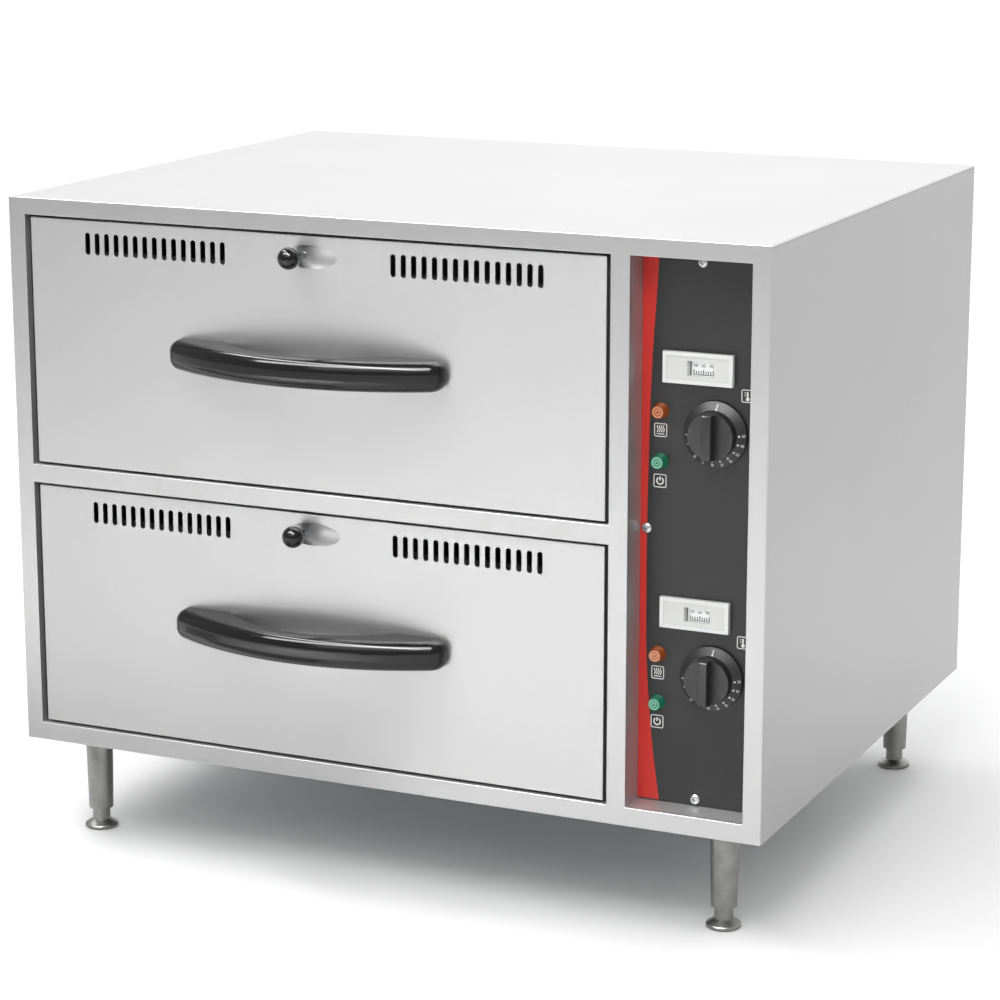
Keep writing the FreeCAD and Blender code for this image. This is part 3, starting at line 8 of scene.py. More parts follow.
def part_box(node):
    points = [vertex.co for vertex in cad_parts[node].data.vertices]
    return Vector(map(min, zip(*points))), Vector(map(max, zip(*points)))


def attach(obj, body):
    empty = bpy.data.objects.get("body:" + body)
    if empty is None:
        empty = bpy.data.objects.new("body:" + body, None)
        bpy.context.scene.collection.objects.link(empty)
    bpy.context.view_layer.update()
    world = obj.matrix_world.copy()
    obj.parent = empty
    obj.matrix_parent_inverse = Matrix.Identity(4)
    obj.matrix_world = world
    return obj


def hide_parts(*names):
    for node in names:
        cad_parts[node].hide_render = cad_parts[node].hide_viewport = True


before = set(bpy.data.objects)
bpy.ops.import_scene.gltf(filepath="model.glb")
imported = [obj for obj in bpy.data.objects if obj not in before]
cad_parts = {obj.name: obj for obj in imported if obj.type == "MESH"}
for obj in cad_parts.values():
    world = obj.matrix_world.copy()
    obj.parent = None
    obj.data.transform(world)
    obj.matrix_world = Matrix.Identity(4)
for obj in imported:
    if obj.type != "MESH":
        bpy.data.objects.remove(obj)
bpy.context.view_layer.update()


# Outer wrap: the top and both sides, folded from one 1.2 mm sheet of stainless steel.
# The sheet comes ground with a fine belt, so short lines run along it: across the top
# and from front to back on the sides. They spread a reflection at right angles.
mm = 0.001
mix_colours, mix_vectors = {"data_type": "RGBA"}, {"data_type": "VECTOR"}
first_colour, second_colour, mixed_colour = 6, 7, 2
first_vector, second_vector, mixed_vector = 4, 5, 1


def linear(colour):
    """Linear colour of an sRGB hex value."""
    shares = [int(colour[start:start + 2], 16) / 255 for start in (1, 3, 5)]
    return (*[s / 12.92 if s <= 0.04045 else ((s + 0.055) / 1.055) ** 2.4 for s in shares], 1)


def blank(name):
    """A material with an empty node tree."""
    material = bpy.data.materials.new(name)
    material.use_nodes = True
    material.node_tree.nodes.clear()
    return material


def add(material, kind, values=None, links=None, **properties):
    """Adds one node with its properties and socket values, and links outputs to its inputs."""
    node = material.node_tree.nodes.new("ShaderNode" + kind)
    for name, value in properties.items():
        setattr(node, name, value)
    for socket, value in (values or {}).items():
        node.inputs[socket].default_value = value
    for socket, output in (links or {}).items():
        material.node_tree.links.new(output, node.inputs[socket])
    return node


def dress(material, *names):
    """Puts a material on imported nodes."""
    for name in names:
        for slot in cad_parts[name].material_slots:
            slot.material = material


def ground_steel(name, dark, bright, rough, line, run, anisotropy, deep):
    """Ground stainless sheet: lines of a given width and length, and soft smudges of polish."""
    smudge_size, line_depth = 140 * mm, 0.03 * mm
    line_gloss, smudge_gloss = 0.008, 0.03
    quarter_turn = 0.25
    steel = blank(name)
    place = add(steel, "TexCoord").outputs["Object"]
    wall_lines = add(steel, "Mapping", {"Scale": (1 / run, 1 / run, 1 / line)}, {"Vector": place})
    top_lines = add(steel, "Mapping", {"Scale": (1 / run, 1 / line, 1 / run)}, {"Vector": place})
    normal = add(steel, "NewGeometry").outputs["Normal"]
    facing = add(steel, "SeparateXYZ", links={"Vector": normal})
    lies_flat = add(steel, "Math", links={0: facing.outputs["Z"]}, operation="ABSOLUTE")
    lines = add(
        steel,
        "Mix",
        links={
            "Factor": lies_flat.outputs[0],
            first_vector: wall_lines.outputs[0],
            second_vector: top_lines.outputs[0],
        },
        **mix_vectors,
    )
    ruled = lines.outputs[mixed_vector]
    grain = add(steel, "TexNoise", {"Scale": 1, "Detail": 1.5}, {"Vector": ruled})
    smudge = add(steel, "TexNoise", {"Scale": 1 / smudge_size, "Detail": 2}, {"Vector": place})
    tone = add(
        steel,
        "Mix",
        {first_colour: linear(dark), second_colour: linear(bright)},
        {"Factor": grain.outputs["Fac"]},
        **mix_colours,
    )
    ground = add(
        steel,
        "MapRange",
        {"To Min": rough - line_gloss, "To Max": rough + line_gloss},
        {"Value": grain.outputs["Fac"]},
    )
    polish = add(
        steel,
        "MapRange",
        {"To Min": -smudge_gloss, "To Max": smudge_gloss},
        {"Value": smudge.outputs["Fac"]},
    )
    gloss = add(steel, "Math", links={0: ground.outputs[0], 1: polish.outputs[0]})
    relief = add(
        steel,
        "Bump",
        {"Strength": deep, "Distance": line_depth},
        {"Height": grain.outputs["Fac"]},
    )
    round_wall = add(steel, "Tangent", direction_type="RADIAL", axis="Z")
    over_top = add(steel, "Tangent", direction_type="RADIAL", axis="Y")
    along = add(
        steel,
        "Mix",
        links={
            "Factor": lies_flat.outputs[0],
            first_vector: round_wall.outputs[0],
            second_vector: over_top.outputs[0],
        },
        **mix_vectors,
    )
    shader = add(
        steel,
        "BsdfPrincipled",
        {"Metallic": 1, "Anisotropic": anisotropy, "Anisotropic Rotation": quarter_turn},
        {
            "Base Color": tone.outputs[mixed_colour],
            "Roughness": gloss.outputs[0],
            "Normal": relief.outputs[0],
            "Tangent": along.outputs[mixed_vector],
        },
    )
    add(steel, "OutputMaterial", links={"Surface": shader.outputs[0]})
    return steel


# The lines are 0.3 mm apart on the sheet and are drawn 0.9 mm apart so that they show.
# Its greys are set darker than those of the fronts: a painted shade for the sides.
wrap_steel = ground_steel(
    "ground_stainless_wrap",
    "#a8a8a8",
    "#acacac",
    rough=0.32,
    line=0.9 * mm,
    run=110 * mm,
    anisotropy=0.3,
    deep=0.03,
)
dress(wrap_steel, "outer_wrap")


# Front frame: stainless strip, mitred and welded into one ring with three openings.
# Its corners are ground flush and polished, so no seam shows and the narrow rounded
# edges catch bright lines. The returns behind the openings keep the dull mill finish.
def by_depth(material, start, end, front, back):
    """A value that changes from front to back between two depths of the object."""
    place = add(material, "TexCoord").outputs["Object"]
    depth = add(material, "SeparateXYZ", links={"Vector": place})
    change = add(
        material,
        "MapRange",
        {"From Min": start, "From Max": end, "To Min": front, "To Max": back},
        {"Value": depth.outputs["Y"]},
    )
    return change.outputs[0]


def change_gloss(material, change):
    """Adds a change to the roughness of a finished material."""
    rough = material.node_tree.nodes["Principled BSDF"].inputs["Roughness"]
    changed = add(material, "Math", links={0: rough.links[0].from_socket, 1: change})
    material.node_tree.links.new(changed.outputs[0], rough)


# Polishing leaves hardly a line, so the few are drawn 4 mm apart as a faint shade.
frame_steel = ground_steel(
    "polished_stainless_frame",
    "#bfbfbf",
    "#c2c2c2",
    rough=0.315,
    line=4 * mm,
    run=70 * mm,
    anisotropy=0.0,
    deep=0.0,
)
frame_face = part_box("front_frame")[0].y
returns = by_depth(frame_steel, frame_face + 1 * mm, frame_face + 3 * mm, 0, 0.24)
change_gloss(frame_steel, returns)
dress(frame_steel, "front_frame")


# Bottom panel, rear cover, leg plates, partition and control plate: galvanised sheet,
# cut, folded and left as it comes from the mill. Zinc freezes in flat crystals of about
# 9 mm, each with its own grey and its own gloss.
crystal, haze_size, haze_depth = 9 * mm, 0.8 * mm, 0.05 * mm
galvanised = blank("galvanised_sheet")
place = add(galvanised, "TexCoord").outputs["Object"]
spangle = add(
    galvanised, "TexVoronoi", {"Scale": 1 / crystal, "Randomness": 1}, {"Vector": place}
)
shade = add(galvanised, "SeparateColor", links={"Color": spangle.outputs["Color"]})
tone = add(
    galvanised,
    "Mix",
    {first_colour: linear("#9ea0a2"), second_colour: linear("#acaeaf")},
    {"Factor": shade.outputs[0]},
    **mix_colours,
)
gloss = add(galvanised, "MapRange", {"To Min": 0.38, "To Max": 0.5}, {"Value": shade.outputs[1]})
haze = add(galvanised, "TexNoise", {"Scale": 1 / haze_size, "Detail": 4}, {"Vector": place})
relief = add(
    galvanised,
    "Bump",
    {"Strength": 0.12, "Distance": haze_depth},
    {"Height": haze.outputs["Fac"]},
)
shader = add(
    galvanised,
    "BsdfPrincipled",
    {"Metallic": 1},
    {
        "Base Color": tone.outputs[mixed_colour],
        "Roughness": gloss.outputs[0],
        "Normal": relief.outputs[0],
    },
)
add(galvanised, "OutputMaterial", links={"Surface": shader.outputs[0]})
dress(galvanised, "bottom_panel", "rear_cover", "leg_plates", "control_partition", "control_panel")


# Rear cover screws: nine pan heads of zinc plated steel with a cross recess, turned into
# the lips of the wrap. Plating is bright with a fine bloom, and the recess is stamped in.
bloom_size = 1.5 * mm
zinc = blank("zinc_plated_screw")
place = add(zinc, "TexCoord").outputs["Object"]
bloom = add(zinc, "TexNoise", {"Scale": 1 / bloom_size, "Detail": 3}, {"Vector": place})
tone = add(
    zinc,
    "Mix",
    {first_colour: linear("#b9bbbd"), second_colour: linear("#dcdddd")},
    {"Factor": bloom.outputs["Fac"]},
    **mix_colours,
)
gloss = add(zinc, "MapRange", {"To Min": 0.15, "To Max": 0.26}, {"Value": bloom.outputs["Fac"]})
shader = add(
    zinc,
    "BsdfPrincipled",
    {"Metallic": 1},
    {"Base Color": tone.outputs[mixed_colour], "Roughness": gloss.outputs[0]},
)
add(zinc, "OutputMaterial", links={"Surface": shader.outputs[0]})


def piece(name, shape, material, body):
    """Makes a bmesh a piece that rides on a body."""
    mesh = bpy.data.meshes.new(name)
    shape.to_mesh(mesh)
    shape.free()
    mesh.materials.append(material)
    made = bpy.data.objects.new(name, mesh)
    bpy.context.collection.objects.link(made)
    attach(made, body)
    return made


def join(whole, shape):
    """Adds one bmesh to another and frees it."""
    copy = bpy.data.meshes.new("copy")
    shape.to_mesh(copy)
    shape.free()
    whole.from_mesh(copy)
    bpy.data.meshes.remove(copy)


def turn_whole(shape, steps):
    """Spins an outline through a full turn about the Z axis and closes the surface."""
    bmesh.ops.spin(
        shape,
        geom=shape.verts[:] + shape.edges[:],
        cent=(0, 0, 0),
        axis=(0, 0, 1),
        angle=math.tau,
        steps=steps,
        use_merge=True,
    )
    bmesh.ops.remove_doubles(shape, verts=shape.verts[:], dist=1e-6)
    bmesh.ops.recalc_face_normals(shape, faces=shape.faces[:])


def cross_heads(name, spots, radius, height, turned):
    """Pan head screws with a stamped cross recess, at spots on a wall, facing along turned."""
    pan = ((0, 1), (0.5, 0.94), (0.82, 0.66), (1, 0.18), (1, 0), (0, 0))
    wing_size = (1.25 * radius, 0.36 * radius, 1.7 * height)
    wing_taper = (0.45, 0.8, 1)
    wing_level = 0.98 * height
    crease = math.radians(35)
    head = bmesh.new()
    profile = [head.verts.new((out * radius, 0, up * height)) for out, up in pan]
    for pair in zip(profile, profile[1:]):
        head.edges.new(pair)
    turn_whole(head, 32)
    screw_heads = piece(name, head, zinc, "cabinet")
    stamp = bmesh.new()
    for turn in (0, 90):
        wing = bmesh.ops.create_cube(stamp, size=1)["verts"]
        bmesh.ops.scale(stamp, vec=wing_size, verts=wing)
        bmesh.ops.scale(stamp, vec=wing_taper, verts=[v for v in wing if v.co.z < 0])
        bmesh.ops.translate(stamp, vec=(0, 0, wing_level), verts=wing)
        quarter = Matrix.Rotation(math.radians(turn), 3, "Z")
        bmesh.ops.rotate(stamp, matrix=quarter, verts=wing)
    stamp_tool = piece(name + "_stamp", stamp, zinc, "cabinet")
    recess = screw_heads.modifiers.new("recess", "BOOLEAN")
    recess.object = stamp_tool
    recess.operation = "DIFFERENCE"
    recess.use_self = True
    pressed = screw_heads.evaluated_get(bpy.context.evaluated_depsgraph_get())
    stamped = bpy.data.meshes.new_from_object(pressed)
    screws = bmesh.new()
    for spot in spots:
        screw = bmesh.new()
        screw.from_mesh(stamped)
        bmesh.ops.transform(screw, matrix=Matrix.Translation(spot) @ turned, verts=screw.verts[:])
        join(screws, screw)
    screw_heads.modifiers.clear()
    bpy.data.objects.remove(stamp_tool)
    screws.to_mesh(screw_heads.data)
    screws.free()
    screw_heads.data.shade_smooth()
    screw_heads.data.set_sharp_from_angle(angle=crease)
    return screw_heads


facing_front = Matrix.Rotation(math.radians(90), 4, "X")
facing_back = Matrix.Rotation(math.radians(-90), 4, "X")
cover_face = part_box("rear_cover_screws")[0].y
side_column, head_row = 367, 615
screw_holes = [(side * side_column, up) for side in (-1, 1) for up in (150, 360.5, 571)]
screw_holes += [(across, head_row) for across in (-225, 0, 225)]
cover_spots = [(across * mm, cover_face, up * mm) for across, up in screw_holes]
cover_screws = cross_heads("cover_screw_heads", cover_spots, 3.5 * mm, 2.2 * mm, facing_back)
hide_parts("rear_cover_screws")


# Cable gland: a hexagon nut and a thimble of moulded polyamide in the rear cover.
# Black nylon from a spark-eroded mould has a fine even grain and a dull sheen.
def moulded(name, dark, bright, rough, grain, deep, **shine):
    """Moulded plastic with the grain of its tool and slight clouds of shade."""
    cloud_size, pit_depth, pit_gloss = 25 * mm, 0.04 * mm, 0.05
    plastic = blank(name)
    place = add(plastic, "TexCoord").outputs["Object"]
    pits = add(plastic, "TexNoise", {"Scale": 1 / grain, "Detail": 2}, {"Vector": place})
    cloud = add(plastic, "TexNoise", {"Scale": 1 / cloud_size, "Detail": 3}, {"Vector": place})
    tone = add(
        plastic,
        "Mix",
        {first_colour: linear(dark), second_colour: linear(bright)},
        {"Factor": cloud.outputs["Fac"]},
        **mix_colours,
    )
    gloss = add(
        plastic,
        "MapRange",
        {"To Min": rough - pit_gloss, "To Max": rough + pit_gloss},
        {"Value": pits.outputs["Fac"]},
    )
    relief = add(
        plastic,
        "Bump",
        {"Strength": deep, "Distance": pit_depth},
        {"Height": pits.outputs["Fac"]},
    )
    shader = add(
        plastic,
        "BsdfPrincipled",
        {socket.replace("_", " "): value for socket, value in shine.items()},
        {
            "Base Color": tone.outputs[mixed_colour],
            "Roughness": gloss.outputs[0],
            "Normal": relief.outputs[0],
        },
    )
    add(plastic, "OutputMaterial", links={"Surface": shader.outputs[0]})
    return plastic


# The grain of a tool is about 0.1 mm. Here and on the other mouldings it is drawn coarser
# so that it shows.
gland_nylon = moulded(
    "moulded_black_nylon", "#161616", "#202020", rough=0.45, grain=0.5 * mm, deep=0.2, IOR=1.53
)
dress(gland_nylon, "cable_gland")


# Legs and levelling feet: drawn and turned tube of satin steel, screwed into the plates.
# Drawing leaves long lines up the leg, drawn coarser here so that they show. Its greys are
# painted darker than the sheet above it: a painted shade for the dark the legs reflect under the
# cabinet.
draw_line, draw_run, draw_depth = 0.9 * mm, 40 * mm, 0.03 * mm
stain_size = 12 * mm
leg_steel = blank("drawn_satin_steel")
place = add(leg_steel, "TexCoord").outputs["Object"]
drawn = add(
    leg_steel,
    "Mapping",
    {"Scale": (1 / draw_line, 1 / draw_line, 1 / draw_run)},
    {"Vector": place},
)
lines = add(leg_steel, "TexNoise", {"Scale": 1, "Detail": 3}, {"Vector": drawn.outputs[0]})
stain = add(leg_steel, "TexNoise", {"Scale": 1 / stain_size, "Detail": 3}, {"Vector": place})
# Painted shade: both greys are darker than the steel's own.
tone = add(
    leg_steel,
    "Mix",
    {first_colour: linear("#757573"), second_colour: linear("#9a9a98")},
    {"Factor": stain.outputs["Fac"]},
    **mix_colours,
)
gloss = add(
    leg_steel, "MapRange", {"To Min": 0.29, "To Max": 0.4}, {"Value": lines.outputs["Fac"]}
)
relief = add(
    leg_steel,
    "Bump",
    {"Strength": 0.2, "Distance": draw_depth},
    {"Height": lines.outputs["Fac"]},
)
shader = add(
    leg_steel,
    "BsdfPrincipled",
    {"Metallic": 1},
    {
        "Base Color": tone.outputs[mixed_colour],
        "Roughness": gloss.outputs[0],
        "Normal": relief.outputs[0],
    },
)
add(leg_steel, "OutputMaterial", links={"Surface": shader.outputs[0]})
dress(leg_steel, "legs", "front_left_foot", "front_right_foot", "rear_left_foot", "rear_right_foot")


# Cavity liners, drawer liners and drawer frames: thin stainless sheet with its cold
# rolled mill finish, folded and spot welded. It is duller and cloudier than the ground sheet.
mill_steel = ground_steel(
    "mill_finish_stainless",
    "#aeaeac",
    "#bcbcba",
    rough=0.4,
    line=2 * mm,
    run=30 * mm,
    anisotropy=0.0,
    deep=0.1,
)
dress(mill_steel, "upper_cavity", "lower_cavity", "upper_drawer_liner", "lower_drawer_liner")
dress(mill_steel, "upper_drawer_frame", "lower_drawer_frame")


# Insulation: slabs of bound mineral wool packed round the cavities. Matted tufts of yellow
# grey fibres lie flat in the slabs and give no shine at all.
tuft_width, tuft_length, tuft_depth = 1.2 * mm, 5 * mm, 1.5 * mm
wool = blank("matted_mineral_wool")
place = add(wool, "TexCoord").outputs["Object"]
mat = add(
    wool,
    "Mapping",
    {"Scale": (1 / tuft_width, 1 / tuft_length, 1 / tuft_width)},
    {"Vector": place},
)
fibres = add(
    wool, "TexNoise", {"Scale": 1, "Detail": 6, "Distortion": 1.5}, {"Vector": mat.outputs[0]}
)
tone = add(
    wool,
    "Mix",
    {first_colour: linear("#6f6440"), second_colour: linear("#b3a67a")},
    {"Factor": fibres.outputs["Fac"]},
    **mix_colours,
)
relief = add(
    wool,
    "Bump",
    {"Strength": 0.8, "Distance": tuft_depth},
    {"Height": fibres.outputs["Fac"]},
)
shader = add(
    wool,
    "BsdfPrincipled",
    {"Roughness": 0.95},
    {"Base Color": tone.outputs[mixed_colour], "Normal": relief.outputs[0]},
)
add(wool, "OutputMaterial", links={"Surface": shader.outputs[0]})
dress(wool, "insulation")


# Telescopic slides, heater clips and damper plates: cold rolled strip, bright zinc plated
# after forming. The plating shows faint draw lines along the strip, drawn coarser here so
# that they show, and a cool bloom.
strip_line, strip_run, strip_bloom = 1.5 * mm, 60 * mm, 18 * mm
strip = blank("bright_zinc_strip")
place = add(strip, "TexCoord").outputs["Object"]
drawn = add(
    strip,
    "Mapping",
    {"Scale": (1 / strip_line, 1 / strip_run, 1 / strip_line)},
    {"Vector": place},
)
lines = add(strip, "TexNoise", {"Scale": 1, "Detail": 3}, {"Vector": drawn.outputs[0]})
bloom = add(strip, "TexNoise", {"Scale": 1 / strip_bloom, "Detail": 3}, {"Vector": place})
tone = add(
    strip,
    "Mix",
    {first_colour: linear("#a9adb2"), second_colour: linear("#c6c9cb")},
    {"Factor": bloom.outputs["Fac"]},
    **mix_colours,
)
gloss = add(strip, "MapRange", {"To Min": 0.29, "To Max": 0.4}, {"Value": lines.outputs["Fac"]})
shader = add(
    strip,
    "BsdfPrincipled",
    {"Metallic": 1},
    {"Base Color": tone.outputs[mixed_colour], "Roughness": gloss.outputs[0]},
)
add(strip, "OutputMaterial", links={"Surface": shader.outputs[0]})
dress(strip, "slide_outer_members", "heater_clips", "upper_slide_inner", "upper_slide_middle")
dress(strip, "lower_slide_inner", "lower_slide_middle")


def paint(material, colour, share):
    """Mixes a share of a colour into a finished material."""
    tone = material.node_tree.nodes["Principled BSDF"].inputs["Base Color"]
    painted = add(
        material,
        "Mix",
        {second_colour: linear(colour)},
        {"Factor": share, first_colour: tone.links[0].from_socket},
        **mix_colours,
    )
    material.node_tree.links.new(painted.outputs[mixed_colour], tone)


# The stem of each damper comes out through the front, and there it is painted near black: a painted
# shade for the dark beside the ball.
damper_strip = strip.copy()
damper_strip.name = "zinc_strip_stem_painted_shade"
door_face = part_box("upper_drawer_front")[0].y
paint(damper_strip, "#101010", by_depth(damper_strip, door_face, door_face + 4 * mm, 1, 0))
dress(damper_strip, "upper_damper_plate", "lower_damper_plate")


# Tubular heaters: a nickel alloy sheath of 8 mm bent to a hairpin under each pan.
# Heat turns the sheath brown grey in patches and leaves it matt.
patch_size = 20 * mm
sheath = blank("heat_stained_alloy")
place = add(sheath, "TexCoord").outputs["Object"]
patches = add(sheath, "TexNoise", {"Scale": 1 / patch_size, "Detail": 5}, {"Vector": place})
tone = add(
    sheath,
    "Mix",
    {first_colour: linear("#3a3632"), second_colour: linear("#6d665d")},
    {"Factor": patches.outputs["Fac"]},
    **mix_colours,
)
gloss = add(sheath, "MapRange", {"To Min": 0.45, "To Max": 0.7}, {"Value": patches.outputs["Fac"]})
shader = add(
    sheath,
    "BsdfPrincipled",
    {"Metallic": 0.8},
    {"Base Color": tone.outputs[mixed_colour], "Roughness": gloss.outputs[0]},
)
add(sheath, "OutputMaterial", links={"Surface": shader.outputs[0]})
dress(sheath, "upper_heater", "lower_heater")


# Control overlay: black polyester film, printed and stuck on the recessed control plate.
# The film has a velvet grain of about 0.3 mm, drawn at 0.6 mm, that turns light into haze.
film = moulded(
    "velvet_black_film", "#191919", "#1e1e1e", rough=0.42, grain=0.6 * mm, deep=0.15, IOR=1.48
)
dress(film, "control_overlay")

film_low, film_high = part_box("control_overlay")
film_face = film_low.y
ink_height = 0.1 * mm


def ink(name, colour, worn):
    """Screen printed ink with a slightly uneven cover."""
    cover_size = 2 * mm
    print_ink = blank(name)
    place = add(print_ink, "TexCoord").outputs["Object"]
    cover = add(print_ink, "TexNoise", {"Scale": 1 / cover_size, "Detail": 3}, {"Vector": place})
    tone = add(
        print_ink,
        "Mix",
        {first_colour: linear(worn), second_colour: linear(colour)},
        {"Factor": cover.outputs["Fac"]},
        **mix_colours,
    )
    shader = add(
        print_ink,
        "BsdfPrincipled",
        {"Roughness": 0.45, "IOR": 1.42},
        {"Base Color": tone.outputs[mixed_colour]},
    )
    add(print_ink, "OutputMaterial", links={"Surface": shader.outputs[0]})
    return print_ink


red_ink = ink("screen_print_red", "#c62c24", "#bd261f")
white_ink = ink("screen_print_white", "#ececea", "#d2d2d0")


def lay_down(sheet, shape, spot):
    """Gives a flat shape the height of the ink, takes it to its spot and adds it to a sheet."""
    raised = bmesh.ops.extrude_face_region(shape, geom=shape.faces[:])["geom"]
    top = [part for part in raised if isinstance(part, bmesh.types.BMVert)]
    bmesh.ops.translate(shape, vec=(0, 0, ink_height), verts=top)
    bmesh.ops.recalc_face_normals(shape, faces=shape.faces[:])
    bmesh.ops.transform(shape, matrix=spot, verts=shape.verts[:])
    join(sheet, shape)


# The red edge of the film is a long strip that narrows to the middle and flares at both ends.
# Each pair is a height on the object and the width there, in mm, and five widths near a height
# are averaged so that the edge curves.
red_widths = [
    (118, 20), (150, 15), (186, 11), (248, 6.4), (368, 6), (483, 8), (545, 11), (598, 15)
]
averaged = (-30, -15, 0, 15, 30)
film_margin = 1 * mm


def red_width(height):
    """Width of the red edge at a height, in mm, along straight runs between the measured ones."""
    for (low, narrow), (high, wide) in zip(red_widths, red_widths[1:]):
        if height <= high:
            return narrow + (wide - narrow) * (height - low) / (high - low)
    return red_widths[-1][1]


red_edge = bmesh.new()
bmesh.ops.create_grid(red_edge, x_segments=1, y_segments=60, size=0.5)
bmesh.ops.translate(red_edge, vec=(0.5, 0.5, 0), verts=red_edge.verts[:])
red_height = film_high.z - film_low.z - 2 * film_margin
for corner in red_edge.verts:
    level = (film_low.z + corner.co.y * red_height) / mm
    widths = [red_width(level + step) for step in averaged]
    corner.co.x *= sum(widths) / len(widths) * mm
    corner.co.y *= red_height
red_sheet = bmesh.new()
red_spot = Matrix.Translation((film_low.x, film_face, film_low.z + film_margin)) @ facing_front
lay_down(red_sheet, red_edge, red_spot)
piece("red_edge_print", red_sheet, red_ink, "cabinet")


# Symbols on the film: white outlines with a heat, a power and a thermometer figure beside
# each lamp and dial. They are screen printed and stand on the film by the height of the ink.
line_width = 0.75 * mm
symbol_side, warmth_side = 12 * mm, 11.3 * mm
lamp_column, warmth_column = 266 * mm, 345.2 * mm
dial_levels = {"upper": 453 * mm, "lower": 235 * mm}
heat_drop, power_drop, warmth_rise = 0.9 * mm, 45.9 * mm, 35.3 * mm
symbol_sheet = bmesh.new()


def bar(width, height, across, up):
    """A flat bar about a point."""
    shape = bmesh.new()
    bmesh.ops.create_grid(shape, x_segments=1, y_segments=1, size=0.5)
    bmesh.ops.scale(shape, vec=(width, height, 1), verts=shape.verts[:])
    bmesh.ops.translate(shape, vec=(across, up, 0), verts=shape.verts[:])
    return shape


def outline(side):
    """A rounded square ring."""
    shape = bar(side, side, 0, 0)
    bmesh.ops.bevel(
        shape,
        geom=shape.verts[:],
        offset=0.14 * side,
        segments=4,
        profile=0.5,
        affect="VERTICES",
        material=-1,
    )
    inside = shape.faces[:]
    bmesh.ops.inset_individual(shape, faces=inside, thickness=line_width)
    bmesh.ops.delete(shape, geom=inside, context="FACES_ONLY")
    return shape


def swept(start, sweeps):
    """A stroke that turns through sweeps, each a centre and an angle in degrees."""
    shape = bmesh.new()
    ends = [shape.verts.new(point) for point in start]
    stroke = ends + [shape.edges.new(ends)]
    for centre, turn in sweeps:
        swung = bmesh.ops.spin(
            shape,
            geom=stroke,
            cent=(*centre, 0),
            axis=(0, 0, 1),
            angle=math.radians(turn),
            steps=12,
        )
        stroke = swung["geom_last"]
    return shape


def disc(radius, across, up):
    """A flat round dot."""
    shape = bmesh.new()
    bmesh.ops.create_circle(shape, cap_ends=True, segments=20, radius=radius)
    bmesh.ops.translate(shape, vec=(across, up, 0), verts=shape.verts[:])
    return shape


# A wave of heat swings through three bends, and the power ring has a gap of 60 degrees on top.
wave, wave_turn, wave_foot = 1.85 * mm, 40, -2 * mm
wave_reach = 2 * wave * math.cos(math.radians(wave_turn))
wave_rise = 2 * wave * math.sin(math.radians(wave_turn))
half_line = 0.38 * mm
ring_start, ring_turn = 2.1, 300
for dial_level in dial_levels.values():
    heat = Matrix.Translation((lamp_column, film_face, dial_level - heat_drop)) @ facing_front
    lay_down(symbol_sheet, outline(symbol_side), heat)
    lay_down(symbol_sheet, bar(7 * mm, line_width, 0, -3.4 * mm), heat)
    for foot in (-3.15 * mm, -1.25 * mm, 0.65 * mm, 2.55 * mm):
        start = [(foot - half_line, wave_foot, 0), (foot + half_line, wave_foot, 0)]
        sweeps = [
            ((foot + wave, wave_foot), -wave_turn),
            ((foot + wave - wave_reach, wave_foot + wave_rise), 2 * wave_turn),
            ((foot + wave, wave_foot + 2 * wave_rise), -2 * wave_turn),
        ]
        lay_down(symbol_sheet, swept(start, sweeps), heat)
    power = Matrix.Translation((lamp_column, film_face, dial_level - power_drop)) @ facing_front
    lay_down(symbol_sheet, outline(symbol_side), power)
    lay_down(symbol_sheet, bar(1.1 * mm, 3.4 * mm, 0, 2 * mm), power)
    ring = [
        (radius * math.cos(ring_start), radius * math.sin(ring_start), 0)
        for radius in (2.5 * mm, 3.6 * mm)
    ]
    lay_down(symbol_sheet, swept(ring, [((0, 0), ring_turn)]), power)
    warmth = Matrix.Translation((warmth_column, film_face, dial_level + warmth_rise)) @ facing_front
    lay_down(symbol_sheet, outline(warmth_side), warmth)
    lay_down(symbol_sheet, bar(1.5 * mm, 5.2 * mm, 0, 0.9 * mm), warmth)
    lay_down(symbol_sheet, disc(1.7 * mm, 0, -2.6 * mm), warmth)
    for up in (0.2 * mm, 1.6 * mm, 3.0 * mm):
        lay_down(symbol_sheet, bar(1.4 * mm, 0.5 * mm, -2.2 * mm, up), warmth)
piece("film_symbols", symbol_sheet, white_ink, "cabinet")


# Panel screws: three larger pan heads with a cross recess that hold the control plate.
# They are the same bright zinc plated steel as the rear screws.
panel_holes = ((303, 600.5), (254.5, 364), (303, 122))
panel_spots = [(across * mm, film_face, up * mm) for across, up in panel_holes]
panel_heads = cross_heads("panel_screw_heads", panel_spots, 5 * mm, 3 * mm, facing_front)
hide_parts("panel_screws")


# Panel thermometers: cases moulded in white ABS with a narrow raised rim, snapped into
# the control plate. The tool has a fine matt grain, and the white is slightly cool. The dish
# inside the rim and the sides of the case behind it are a little greyer: a painted shade.
white_abs = moulded(
    "moulded_white_abs", "#d5d6d5", "#dedfde", rough=0.36, grain=0.4 * mm, deep=0.12, IOR=1.54
)
case_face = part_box("upper_thermometer")[0].y
dish = by_depth(white_abs, case_face + 0.3 * mm, case_face + 0.7 * mm, 0, 1)
paint(white_abs, "#cdcecc", dish)
dress(white_abs, "upper_thermometer", "lower_thermometer")

# Behind each window lies a card of coated white board, slid into the case, with a scale
# printed on it in black: ticks, a base line and plain numbers.
card_white = ink("coated_white_card", "#fafafa", "#f4f4f4")
black_ink = ink("screen_print_black", "#1a1a1a", "#262626")
card_width, card_height = 24 * mm, 14 * mm
card_depth, window_shift = 4.8 * mm, 2.5 * mm
base_level, number_level = -5.6 * mm, 2.2 * mm
tick_width, tick_pitch, first_tick = 0.9 * mm, 2.2 * mm, -7.4 * mm
long_tick, short_tick = 4.6 * mm, 3.4 * mm


